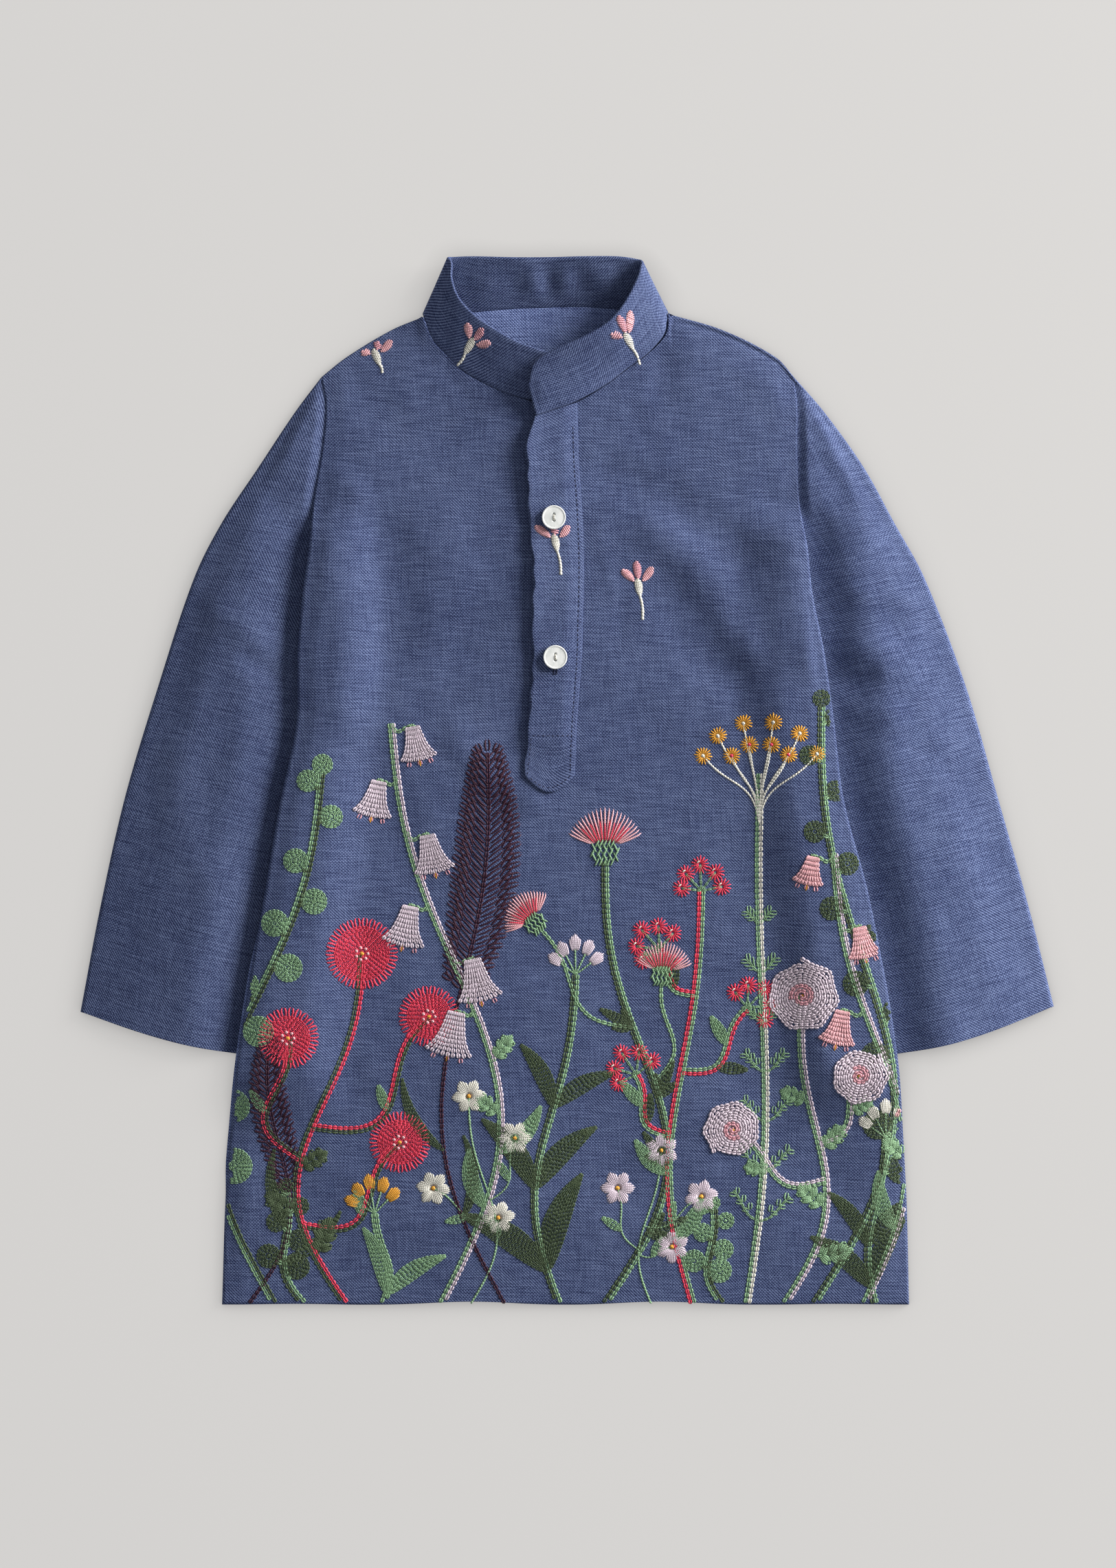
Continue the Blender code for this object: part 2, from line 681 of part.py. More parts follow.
def build_placket_top(collection, finish):
    """The overlap: a strip over the slit, sewn at its right, free and wavy at its left."""
    rows = []
    last = len(PLACKET_SECTIONS) - 1
    for k in range(PLACKET_STEPS * last + 1):
        free_x, free_y, sewn_x, sewn_y, lift = placket_section(k / PLACKET_STEPS)
        toe = PLACKET_TOE * eased(last - 1.0, last, k / PLACKET_STEPS)
        row = []
        for c in range(PLACKET_ACROSS + 1):
            share = c / PLACKET_ACROSS
            x, y = mix(free_x, sewn_x, share), mix(free_y, sewn_y, share)
            y -= toe * math.sin(math.pi * share)
            row.append(Vector((x, y, placket_underside(x, y, share) + lift * (1.0 - share) ** 3)))
        rows.append(row[::-1])
    strip = sheet_from_rows("placket_top", rows, lambda r, c: True, collection, finish)
    thicken(strip, PLACKET_THICKNESS, 1.0)
    return strip


def build_placket_stand(collection, finish):
    """The button stand: a strip on the left side of the slit, under the overlap."""
    rows = []
    last = len(PLACKET_SECTIONS) - 1
    for k in range(PLACKET_STEPS * last + 1):
        free_x, free_y, sewn_x, sewn_y, _ = placket_section(k / PLACKET_STEPS)
        if free_y < STAND_BOTTOM:
            break
        row = []
        for inset in (STAND_INSET[0], 0.5 * sum(STAND_INSET), sewn_x - free_x - STAND_INSET[1]):
            share = inset / (sewn_x - free_x)
            x, y = free_x + inset, mix(free_y, sewn_y, share)
            row.append(Vector((x, y, front_top(x, y) + LAYER_GAP)))
        rows.append(row[::-1])
    strip = sheet_from_rows("placket_under", rows, lambda r, c: True, collection, finish)
    thicken(strip, STAND_THICKNESS, 1.0)
    return strip


def button_seat(centre):
    """The height at which a flat button clears the placket under it."""
    keys = [section.free_y for section in reversed(PLACKET_SECTIONS)]
    free = spline(keys, [section.free_x for section in reversed(PLACKET_SECTIONS)], centre[1])
    sewn = spline(keys, [section.sewn_x for section in reversed(PLACKET_SECTIONS)], centre[1])
    highest = 0.0
    for turn in range(24):
        for reach in (0.0, 0.5, 1.0):
            x = centre[0] + reach * BUTTON_RADIUS * math.cos(math.tau * turn / 24)
            y = centre[1] + reach * BUTTON_RADIUS * math.sin(math.tau * turn / 24)
            lift = spline(keys, [s.lift for s in reversed(PLACKET_SECTIONS)], y)
            share = (x - free) / (sewn - free)
            highest = max(highest, placket_underside(x, y, share) + lift * (1.0 - share) ** 3)
    return highest + PLACKET_THICKNESS + SEAM_GAP


def build_button(name, centre, collection, cutters, finish):
    """A turned button with a raised rim and two holes, one above the other."""
    half = BUTTON_RADIUS
    profile = (
        (0.0, 0.62),
        (0.66 * half, 0.62),
        (0.80 * half, 1.0),
        (0.93 * half, 0.96),
        (half, 0.60),
        (0.94 * half, 0.22),
        (0.70 * half, 0.0),
        (0.0, 0.0),
    )
    outline = bmesh.new()
    points = [outline.verts.new((x * METRES, 0.0, z * BUTTON_HEIGHT * METRES)) for x, z in profile]
    for a, b in zip(points, points[1:]):
        outline.edges.new((a, b))
    mesh_data = bpy.data.meshes.new(name)
    outline.to_mesh(mesh_data)
    outline.free()
    button = add_object(name, mesh_data, collection, finish)
    button.location = Vector((*centre, button_seat(centre))) * METRES
    turned = button.modifiers.new("turned", "SCREW")
    turned.steps = turned.render_steps = 20
    turned.use_merge_vertices = True
    turned.merge_threshold = 0.00001
    for up in (-0.5, 0.5):
        bpy.ops.mesh.primitive_cylinder_add(
            vertices=8, radius=BUTTON_HOLE_RADIUS * METRES, depth=4 * BUTTON_HEIGHT * METRES
        )
        drill = bpy.context.active_object
        drill.name = f"{name} drill"
        for other in drill.users_collection:
            other.objects.unlink(drill)
        cutters.objects.link(drill)
        drill.location = button.location + Vector((0.0, up * BUTTON_HOLE_APART * METRES, 0.0))
        drill.hide_render = True
        drill.display_type = "WIRE"
        cut = button.modifiers.new("hole", "BOOLEAN")
        cut.operation = "DIFFERENCE"
        cut.solver = "EXACT"
        cut.object = drill
    return button


def main():
    for old in list(bpy.data.objects):
        bpy.data.objects.remove(old)
    kurta = bpy.data.collections.new("kurta")
    cutters = bpy.data.collections.new("cutters")
    bpy.context.scene.collection.children.link(kurta)
    bpy.context.scene.collection.children.link(cutters)
    cloth = material("blue cloth", CLOTH_BLUE, 0.85)
    hidden_cloth = material("shaded blue cloth", SHADED_BLUE, 0.85)
    shell = material("off-white button", BUTTON_WHITE, 0.3)
    build_panel("front", FRONT_NECK_LEFT, FRONT_NECK_RIGHT, front_underside, True, kurta, cloth)
    build_panel("back", BACK_NECK_LEFT, BACK_NECK_RIGHT, back_underside, False, kurta, hidden_cloth)
    build_sleeve("sleeve_l", -1, kurta, cloth)
    build_sleeve("sleeve_r", 1, kurta, cloth)
    build_collar(kurta, cloth)
    build_placket_top(kurta, cloth)
    build_placket_stand(kurta, hidden_cloth)
    for number, centre in enumerate(BUTTON_CENTRES, start=1):
        build_button(f"button_{number}", centre, kurta, cutters, shell)


main()
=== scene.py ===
"""The looks of a toddler's kurta that lies flat on a pale floor, seen from straight above.

Lengths are in millimetres and become metres when a mesh is made. X runs across the chest, Y from the
hem up to the collar and Z up from the floor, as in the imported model.
"""

import logging
import math
from dataclasses import dataclass, field
from enum import Enum
from typing import Any, Callable, Iterator, NamedTuple, Sequence

import bpy
import numpy as np
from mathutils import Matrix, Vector


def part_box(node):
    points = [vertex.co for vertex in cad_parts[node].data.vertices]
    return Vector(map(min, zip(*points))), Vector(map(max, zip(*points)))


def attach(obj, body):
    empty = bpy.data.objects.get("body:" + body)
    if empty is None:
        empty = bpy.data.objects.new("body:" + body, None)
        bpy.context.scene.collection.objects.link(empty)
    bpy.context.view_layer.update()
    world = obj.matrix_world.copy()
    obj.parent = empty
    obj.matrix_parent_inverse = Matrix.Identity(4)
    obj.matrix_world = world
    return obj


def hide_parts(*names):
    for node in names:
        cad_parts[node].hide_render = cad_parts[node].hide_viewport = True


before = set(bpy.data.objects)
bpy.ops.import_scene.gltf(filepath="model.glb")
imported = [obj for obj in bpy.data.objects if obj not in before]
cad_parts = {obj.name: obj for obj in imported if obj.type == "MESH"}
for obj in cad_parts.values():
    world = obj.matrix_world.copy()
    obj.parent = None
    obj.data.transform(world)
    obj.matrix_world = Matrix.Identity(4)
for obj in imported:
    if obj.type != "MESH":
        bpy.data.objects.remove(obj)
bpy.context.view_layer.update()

LOG = logging.getLogger("kurta")
METRES = 0.001
Array = np.ndarray

IMAGE_HEIGHT = 2282
MM_PER_PIXEL = 0.328
IMAGE_CENTRE = (-4.4, -1.0)
CAMERA_HEIGHT = 1800.0
STEM_STEPS = 32
ROOT_LINE = -249.2


class Side(Enum):
    """A side of the kurta as seen from above."""

    LEFT = -1
    RIGHT = 1


class BodySection(NamedTuple):
    """The body's two edges at one height: side seams below the underarm, armholes above it."""

    place: str
    height: float
    left: float
    right: float


class Spot(NamedTuple):
    """A named point of a seam or an edge, in plan."""

    place: str
    x: float
    y: float


class CollarSection(NamedTuple):
    """The collar band cut across: its sewn base and its free top edge, at the wall's middle."""

    place: str
    base_x: float
    base_y: float
    base_z: float
    top_x: float
    top_y: float
    top_z: float


class PlacketSection(NamedTuple):
    """The placket cut across: its free edge, its stitched edge and the free edge's lift."""

    place: str
    free_x: float
    free_y: float
    sewn_x: float
    sewn_y: float
    lift: float


class Fold(NamedTuple):
    """A soft ridge (height above 0) or trough along a line, bowed sideways by bend."""

    place: str
    x0: float
    y0: float
    x1: float
    y1: float
    bend: float
    half_width: float
    height: float


def rows_of(kind: type[NamedTuple], *rows: tuple) -> tuple:
    """Named rows from plain ones."""
    return tuple(kind(*row) for row in rows)


BODY_SECTIONS = rows_of(
    BodySection,
    ("hem", -250, -165.1, 163.5),
    ("above hem", -191, -162.9, 161.9),
    ("thigh", -126, -156.3, 156.9),
    ("hip", -54, -144.5, 143.8),
    ("low waist", -9, -136.8, 132),
    ("waist", 28, -129.2, 127.4),
    ("ribs", 62, -128.6, 122.6),
    ("chest", 90, -126.2, 117),
    ("underarm", 112, -123.2, 114.6),
    ("low armhole", 134, -121.2, 111),
    ("armhole", 160, -117, 110),
    ("high armhole", 180, -115.4, 110),
    ("shoulder tip", 193.5, -117.6, 108.5),
)
TUCK_SECTIONS = rows_of(
    BodySection,
    ("cuff", -133, -136.3, 136),
    ("forearm", -60, -130, 127),
    ("elbow", 0, -124, 118.5),
    ("upper arm", 60, -120.5, 113.5),
    ("underarm", 112, -123.5, 114.9),
)
LEFT_SHOULDER = rows_of(
    Spot,
    ("tip", -117.6, 193.5),
    ("sleeve side", -105.8, 202.9),
    ("neck side", -84.5, 215.8),
    ("neck", -69.4, 222.2),
)
RIGHT_SHOULDER = rows_of(
    Spot,
    ("neck", 49, 223.6),
    ("neck side", 74.9, 215.8),
    ("sleeve side", 99.9, 202.9),
    ("tip", 108.5, 193.5),
)
FRONT_NECK_LEFT = rows_of(
    Spot,
    ("shoulder", -69.4, 222.2),
    ("side", -65.4, 211.9),
    ("turn", -58.4, 202.6),
    ("lower", -48.9, 195.3),
    ("low", -36.4, 188.6),
    ("near slit", -20, 182.6),
    ("slit", -6.4, 179.6),
)
FRONT_NECK_RIGHT = rows_of(
    Spot,
    ("slit", -5.6, 179.4),
    ("near slit", 3.8, 181),
    ("low", 18.7, 189.6),
    ("lower", 28.7, 197.2),
    ("turn", 38.2, 204.1),
    ("side", 47, 213.6),
    ("shoulder", 49, 223.6),
)
BACK_NECK_LEFT = rows_of(
    Spot,
    ("shoulder", -69.4, 222.2),
    ("side", -47, 224.3),
    ("inner", -25.4, 226.2),
    ("middle", -6, 226.9),
)
BACK_NECK_RIGHT = rows_of(
    Spot,
    ("middle", -6, 226.9),
    ("inner", 9, 227.1),
    ("side", 27.4, 225.6),
    ("shoulder", 49, 223.6),
)
OUTER_EDGES = {
    Side.LEFT: rows_of(
        Spot,
        ("tip", -117.9, 193.2),
        ("cap", -130.4, 176.5),
        ("low cap", -147.8, 150.2),
        ("biceps", -165.1, 124),
        ("low biceps", -178.3, 97.7),
        ("elbow", -195.7, 45.3),
        ("forearm", -211.4, -7.2),
        ("low forearm", -223.2, -59.7),
        ("cuff", -232.7, -109.9),
    ),
    Side.RIGHT: rows_of(
        Spot,
        ("tip", 108.8, 193.2),
        ("cap", 123.2, 176.5),
        ("low cap", 141.9, 150.2),
        ("biceps", 156.3, 124),
        ("low biceps", 170.7, 97.7),
        ("elbow", 190.7, 45.3),
        ("forearm", 205.8, -7.2),
        ("low forearm", 220.6, -59.7),
        ("cuff", 232.6, -107.3),
    ),
}
COLLAR_SECTIONS = rows_of(
    CollarSection,
    ("hidden left end", -9.5, 181.9, 4.9, -8.5, 203.6, 11.6),
    ("left of centre", -23.8, 184.7, 4.4, -23.8, 208.9, 12.2),
    ("low left", -36.2, 189.4, 4.2, -37, 216.4, 12.8),
    ("lower left", -48.5, 196.2, 4, -45.8, 223, 13.4),
    ("left turn", -57.1, 204, 4, -51.9, 230.2, 13.6),
    ("left side", -64.2, 212.4, 3.9, -55, 238.8, 13.6),
    ("left fold, front", -67, 219.8, 3.9, -55, 246, 13),
    ("left fold", -68.1, 223.3, 2.4, -56.6, 248.8, 10.9),
    ("left fold, back", -66.2, 224, 0.9, -54.6, 249.4, 8.8),
    ("back, left", -47, 225, 0.8, -44, 249.6, 9.2),
    ("back, left ripple", -25.4, 226.9, 0.8, -24, 249, 10.4),
    ("back, middle", -8, 227.6, 0.8, -8, 249.2, 9.4),
    ("back, right ripple", 9, 227.8, 0.8, 8, 249.5, 10.2),
    ("back, right", 27.4, 226.3, 0.8, 24, 249.5, 9.8),
    ("right fold, back", 45.4, 225.2, 0.9, 33.4, 248.2, 10.2),
    ("right fold", 47.3, 223.6, 2.4, 35.6, 246.6, 13),
    ("right fold, front", 46.8, 219.6, 4, 35, 243.6, 15.6),
    ("right side", 45.4, 213.6, 4.3, 33, 237.6, 16.6),
    ("right turn", 37.6, 204.8, 4.6, 26.6, 225.6, 17.8),
    ("lower right", 28.1, 197.9, 5.2, 18.8, 217, 18.2),
    ("low right", 18.3, 190.3, 6, 7, 210.2, 17.8),
    ("right of centre", 3.4, 181.9, 7.4, -6.7, 204.2, 16.4),
    ("right end, corner", -6.6, 178.2, 8, -15.4, 198.4, 14.8),
    ("right end", -14.4, 175.2, 8.3, -18, 189.6, 12.2),
)
PLACKET_SECTIONS = rows_of(
    PlacketSection,
    ("neck", -15, 174.2, 4.2, 180.6, 1.8),
    ("below collar", -18.5, 164, 4.5, 170, 3.2),
    ("upper", -18.4, 150, 5, 152, 3),
    ("first button", -17.6, 126, 6.8, 126, 0.8),
    ("between buttons", -15.4, 100, 7.4, 100, 2.2),
    ("above second", -16.2, 78, 6.9, 78, 1.4),
    ("second button", -15.8, 59.4, 6.4, 59.4, 0.7),
    ("bar", -18, 26, 4, 26, 0.3),
    ("toe", -20.4, 3, 3.2, 3, 0.1),
)
BODY_FOLDS = rows_of(
    Fold,
    ("left side ridge", -103, 136, -104, 34, -3, 10, 1.2),
    ("left side trough", -85, 116, -84, 58, -5, 10, -1),
    ("left chest swell", -62, 124, -58, 94, 0, 18, 0.9),
    ("left rib trough", -72, 62, -44, 78, 4, 12, -1),
    ("left shoulder hollow", -98, 188, -62, 168, 4, 13, -0.7),
    ("left belly ridge", -52, 20, -20, -6, 3, 9, 1),
    ("right chest trough", 19, 146, 84, 108, -5, 8.5, -1.5),
    ("right chest ridge", 44, 118, 84, 64, -6, 9.5, 1.5),
    ("right rib trough", 46, 92, 79, 48, 3, 10, -1.5),
    ("right neck trough", 46, 213, 45, 189, 0, 7.5, -1),
    ("right armhole trough", 102, 132, 100, 54, 2, 9, -1.2),
    ("right waist swell", 84, 20, 104, -30, 0, 22, 0.8),
    ("left waist trough", -96, 6, -74, -44, 5, 16, -0.9),
    ("skirt swell", -40, -110, -30, -190, 6, 26, 0.8),
    ("skirt hollow", 34, -90, 26, -180, -5, 24, -0.8),
    ("low right crease", 88, -140, 126, -196, 3, 12, -0.9),
    ("low right swell", 112, -120, 148, -170, 0, 13, 0.8),
    ("low left hollow", -142, -186, -112, -222, -3, 16, -0.7),
)
SLEEVE_FOLDS = rows_of(
    Fold,
    ("left cap crest", -121, 178, -136, 150, 0, 10, 0.8),
    ("left cap hollow", -134, 142, -140, 92, -3, 11, -0.9),
    ("left arm ridge", -166, 84, -184, 16, 3, 13, 0.7),
    ("left arm hollow", -152, 40, -166, -30, 3, 12, -0.8),
    ("left forearm swell", -190, 10, -176, -40, 4, 12, 0.6),
    ("right cap dimple", 120, 150, 127, 142, 0, 8, -0.9),
    ("right cap crest", 124, 170, 146, 134, 4, 9, 0.7),
    ("right arm crease", 120, 80, 162, 73, -4, 8, -0.9),
    ("right arm ridge", 130, 62, 160, 54, -3, 9, 0.7),
    ("right arm wedge", 126, 51, 143, 39, 0, 7, -0.9),
    ("right forearm swell", 184, -20, 200, -84, 0, 18, 0.6),
)
FINE_BODY_FOLDS = rows_of(
    Fold,
    ("shoulder drag", -96, 196, -72, 178, 2, 3.5, 0.25),
    ("neck pull, left", -58, 196, -44, 172, -2, 4, -0.3),
    ("neck pull, right", 30, 190, 40, 160, 2, 4.5, -0.25),
    ("placket ease, upper", 16, 124, 22, 92, 1.5, 4, 0.35),
    ("placket ease, lower", 27, 96, 25, 68, 0, 3.5, -0.3),
    ("left armhole tuck", -112, 120, -96, 108, 2, 3.5, -0.3),
    ("left armhole drag", -116, 150, -100, 138, -1.5, 4, 0.3),
    ("right armhole drag", 106, 152, 92, 140, 1.5, 4, -0.25),
    ("right seam bead", 112, 104, 116, 52, -0.5, 2.6, 0.5),
    ("belly drag, left", -96, -2, -58, 22, 3, 5, -0.3),
    ("belly drag, right", 58, 24, 96, 8, -3, 5.5, 0.3),
    ("hip line", 40, -32, 86, -50, 4, 6, -0.3),
    ("left hip line", -120, -52, -84, -74, -3, 6, 0.3),
    ("hem flute, left", -104, -210, -100, -249, 0, 7, 0.35),
    ("hem flute, middle", -14, -214, -12, -249, 0, 6, -0.25),
    ("hem flute, right", 66, -206, 70, -249, 0, 8, 0.35),
    ("side ripple, low left", -160, -140, -138, -150, 1, 4, 0.3),
    ("side ripple, left", -153, -168, -134, -182, 1.5, 4, -0.3),
    ("side ripple, low right", 158, -150, 138, -164, -1, 4.5, 0.35),
    ("side ripple, right", 156, -182, 134, -200, -1.5, 4.5, -0.35),
    ("side ripple, hip", 140, -54, 118, -66, 0, 5, 0.3),
    ("side ripple, left hip", -140, -36, -122, -46, 0, 4.5, -0.25),
)
FINE_SLEEVE_FOLDS = rows_of(
    Fold,
    ("left cap pucker", -121, 166, -131, 158, 0, 3.5, 0.25),
    ("left cap drag", -120, 146, -134, 132, -1.5, 3.5, -0.25),
    ("left elbow drag", -140, 60, -170, 44, 3, 5, -0.25),
    ("left forearm line", -160, -60, -200, -72, 3, 6, 0.2),
    ("left cuff line", -190, -96, -222, -84, -2, 5, -0.2),
    ("right cap pucker", 112, 172, 124, 162, 1, 3, -0.25),
    ("right cap line", 118, 132, 140, 122, 1.5, 3.5, 0.3),
    ("right arm line", 134, 92, 166, 92, 3, 4, 0.25),
    ("right elbow drag", 146, 22, 180, 8, -3, 6, -0.25),
    ("right forearm line", 160, -48, 206, -40, 3, 7, 0.2),
    ("right cuff line", 176, -92, 216, -82, -2, 5, -0.2),
    ("right underarm hollow", 121, 44, 144, 50, 1, 4.5, -1.7),
    ("right underarm ridge", 128, 58, 166, 72, 2, 6.5, 1.1),
    ("right low ridge", 128, 31, 156, 33, -2, 6, 0.8),
    ("left underarm hollow", -130, 50, -152, 58, -1, 5, -1.3),
    ("left underarm ridge", -136, 66, -168, 82, -2, 7, 0.9),
)


def eased(start: float, end: float, value: Array) -> Array:
    """A smooth step from 0 at start to 1 at end."""
    t = np.clip((np.asarray(value, float) - start) / (end - start), 0.0, 1.0)
    return t * t * (3.0 - 2.0 * t)


def mix(a: Array, b: Array, share: Array) -> Array:
    """The value a share of the way from a to b."""
    return a + (b - a) * share


class Smooth:
    """A smooth curve through (keys, values), held level past its ends."""

    def __init__(self, keys: Sequence[float], values: Sequence[float]) -> None:
        """Keeps the curve's keys and values and finds its slopes.

        Args:
            keys: Rising places along the curve.
            values: The curve's value at each of them.
        """
        self.keys = np.asarray(keys, float)
        self.values = np.asarray(values, float)
        low = np.maximum(np.arange(len(self.keys)) - 1, 0)
        high = np.minimum(np.arange(len(self.keys)) + 1, len(self.keys) - 1)
        rise = self.values[high] - self.values[low]
        self.slopes = rise / (self.keys[high] - self.keys[low])

    def __call__(self, at: Array) -> Array:
        """The curve's values at keys of any shape.

        Args:
            at: The keys to read it at.

        Returns:
            The values, shaped as the keys.
        """
        at = np.clip(np.asarray(at, float), self.keys[0], self.keys[-1])
        i = np.clip(np.searchsorted(self.keys, at, side="right") - 1, 0, len(self.keys) - 2)
        span = self.keys[i + 1] - self.keys[i]
        t = (at - self.keys[i]) / span
        return (
            self.values[i] * (1 + 2 * t) * (1 - t) ** 2
            + self.values[i + 1] * t * t * (3 - 2 * t)
            + self.slopes[i] * span * t * (1 - t) ** 2
            - self.slopes[i + 1] * span * t * t * (1 - t)
        )


class PlanPath:
    """A smooth curve in plan, read at shares of its length."""

    def __init__(self, points: Sequence[Sequence[float]]) -> None:
        """Lays the curve through plan points.

        Args:
            points: Rows whose last two values are a point's X and Y.
        """
        spots = np.asarray([tuple(p)[-2:] for p in points], float)
        steps = np.hypot(*np.diff(spots, axis=0).T)
        keys = np.concatenate([[0.0], np.cumsum(steps)])
        self.length = float(keys[-1])
        self.x = Smooth(keys, spots[:, 0])
        self.y = Smooth(keys, spots[:, 1])

    def at(self, share: Array) -> Array:
        """Plan points at shares from 0 to 1, on a new last axis."""
        along = np.asarray(share, float) * self.length
        return np.stack([self.x(along), self.y(along)], -1)


def fold_height(folds: Sequence[Fold], x: Array, y: Array) -> Array:
    """The sum of the soft ridges and troughs at plan points.

    Args:
        folds: The ridges and troughs.
        x: The points' X.
        y: The points' Y.

    Returns:
        The height at each point.
    """
    total = np.zeros(np.broadcast(x, y).shape)
    for fold in folds:
        run_x, run_y = fold.x1 - fold.x0, fold.y1 - fold.y0
        length = math.hypot(run_x, run_y)
        along = ((x - fold.x0) * run_x + (y - fold.y0) * run_y) / length
        across = ((x - fold.x0) * run_y - (y - fold.y0) * run_x) / length
        share = np.clip(along / length, 0.0, 1.0)
        past = np.maximum(np.maximum(-along, along - length), 0.0)
        across = across - fold.bend * 4.0 * share * (1.0 - share)
        total += fold.height * np.exp(-(across**2 + past**2) / fold.half_width**2)
    return total


def run_along(path: Array) -> Array:
    """How far along a polyline each of its points lies."""
    steps = np.linalg.norm(np.diff(path, axis=0), axis=1)
    return np.concatenate([[0.0], np.cumsum(steps)])


def spots_along(path: Array, marks: Array) -> Array:
    """The plan points at lengths along a polyline."""
    run = run_along(path)
    return np.column_stack([np.interp(marks, run, path[:, k]) for k in range(2)])


def run_around(rings: Array) -> Array:
    """How far round its ring each point lies."""
    steps = np.linalg.norm(np.diff(rings, axis=1), axis=2)
    return np.concatenate([np.zeros((len(rings), 1)), np.cumsum(steps, 1)], 1)


def soft_limit(value: Array, most: float) -> Array:
    """A value kept between 0 and most without a corner."""
    return 0.5 * most * (1.0 + np.tanh(2.0 * value / most - 1.0))


@dataclass(frozen=True)
class LaidShape:
    """How the layers lie on each other: the heights of the panels and sleeves over the floor."""

    hem: float = -250.0
    floor_from: float = -168.0
    cuff: float = -136.0
    underarm: float = 112.0
    tip: float = 193.5
    panel: float = 1.2
    layer_gap: float = 0.4
    body_lift: float = 5.6
    lift_flat: float = 9.0
    lift_ramp: float = 26.0
    armhole_ramp: float = 24.0
    puff_rest: float = 1.7
    puff_most: float = 4.4
    armhole_puff: float = 0.55
    seam_ease: float = 11.0
    shoulder_ease: float = 18.0
    hem_ease: float = 45.0
    sleeve_edge: float = 4.0
    sleeve_tip_edge: float = 2.8
    sleeve_puff_rest: float = 1.1
    sleeve_puff_most: float = 2.6
    fold_depth: float = 1.25
    sleeve_slope: float = 4.2
    slope_top: float = 0.6
    dip_width: float = 30.0
    dip_floor: float = 0.45
    hem_puff: float = 0.3
    armhole_open: float = 24.0
    tip_close: float = 18.0
    joins_from: float = 4.0
    joins_to: float = 36.0

    def body_edge(self, height: Array, side: Side) -> Array:
        """The body's edge at heights."""
        values = [s.left if side is Side.LEFT else s.right for s in BODY_SECTIONS]
        return Smooth([s.height for s in BODY_SECTIONS], values)(height)

    def tuck_edge(self, height: Array, side: Side) -> Array:
        """The sleeve's hidden inner edge at heights."""
        values = [s.left if side is Side.LEFT else s.right for s in TUCK_SECTIONS]
        return Smooth([s.height for s in TUCK_SECTIONS], values)(height)

    def inside(self, x: Array, y: Array) -> Array:
        """How far points lie inside the body's nearer side edge."""
        left = x - self.body_edge(y, Side.LEFT)
        return np.minimum(left, self.body_edge(y, Side.RIGHT) - x)

    def shoulder_height(self, x: Array) -> Array:
        """The height of the shoulder line above x, far up over the neck hole.

        Args:
            x: The points' X.

        Returns:
            The line's Y above each point.
        """
        left = Smooth([p.x for p in LEFT_SHOULDER], [p.y for p in LEFT_SHOULDER])(x)
        right = Smooth([p.x for p in RIGHT_SHOULDER], [p.y for p in RIGHT_SHOULDER])(x)
        over_neck = np.full(np.shape(x), 2.0 * self.tip)
        over_neck = np.where(x < LEFT_SHOULDER[-1].x, left, over_neck)
        return np.where(x > RIGHT_SHOULDER[0].x, right, over_neck)

    def lift(self, x: Array, y: Array) -> Array:
        """How high the sleeves' inner edges hold the body up.

        Args:
            x: The points' X.
            y: The points' Y.

        Returns:
            The lift at each point, 0 away from the sleeves.
        """
        near_arm = 1.0 - eased(self.underarm + 0.5, self.underarm + self.armhole_ramp, y)
        near_cuff = eased(self.floor_from, self.cuff, y)
        within = np.minimum(x - self.tuck_edge(y, Side.LEFT), self.tuck_edge(y, Side.RIGHT) - x)
        slope = 1.0 - eased(self.lift_flat, self.lift_flat + self.lift_ramp, within)
        return self.body_lift * near_arm * near_cuff * slope

    def puff(self, x: Array, y: Array) -> Array:
        """The air between front and back above the seam's own gap.

        Args:
            x: The points' X.
            y: The points' Y.

        Returns:
            The air's height at each point.
        """
        open_armhole = self.armhole_puff * eased(self.underarm + 2.0, self.underarm + self.armhole_open, y)
        open_armhole = open_armhole * (1.0 - eased(self.tip - self.tip_close, self.tip, y))
        ease = mix(open_armhole, 1.0, eased(0.0, self.seam_ease, self.inside(x, y)))
        ease = ease * eased(0.0, self.shoulder_ease, self.shoulder_height(x) - y)
        ease = ease * mix(self.hem_puff, 1.0, eased(0.0, self.hem_ease, y - self.hem))
        fine = fold_height(FINE_BODY_FOLDS, x, y)
        soft = self.puff_rest + self.fold_depth * fold_height(BODY_FOLDS, x, y)
        soft = soft_limit(soft, self.puff_most)
        return ease * soft + fine * eased(0.0, 6.0, self.inside(x, y)) * mix(0.4, 1.0, ease)

    def back_top(self, x: Array, y: Array) -> Array:
        """The upper face of the back panel."""
        return self.lift(x, y) + self.panel

    def front_under(self, x: Array, y: Array) -> Array:
        """The lower face of the front panel's wall."""
        return self.back_top(x, y) + self.layer_gap + self.puff(x, y)

    def front_top(self, x: Array, y: Array) -> Array:
        """The upper face of the front panel."""
        return self.front_under(x, y) + self.panel

    def sleeve_edge_at(self, height: Array) -> Array:
        """A sleeve's thickness at its folded edges, thinnest at the shoulder tip."""
        return mix(self.sleeve_edge, self.sleeve_tip_edge, eased(self.underarm, self.tip, height))

    def joined(self, y: Array) -> Array:
        """From 0 where the body lies over the sleeve to 1, up the armhole, where a seam joins them."""
        return eased(self.underarm - self.joins_from, self.underarm + self.joins_to, y)

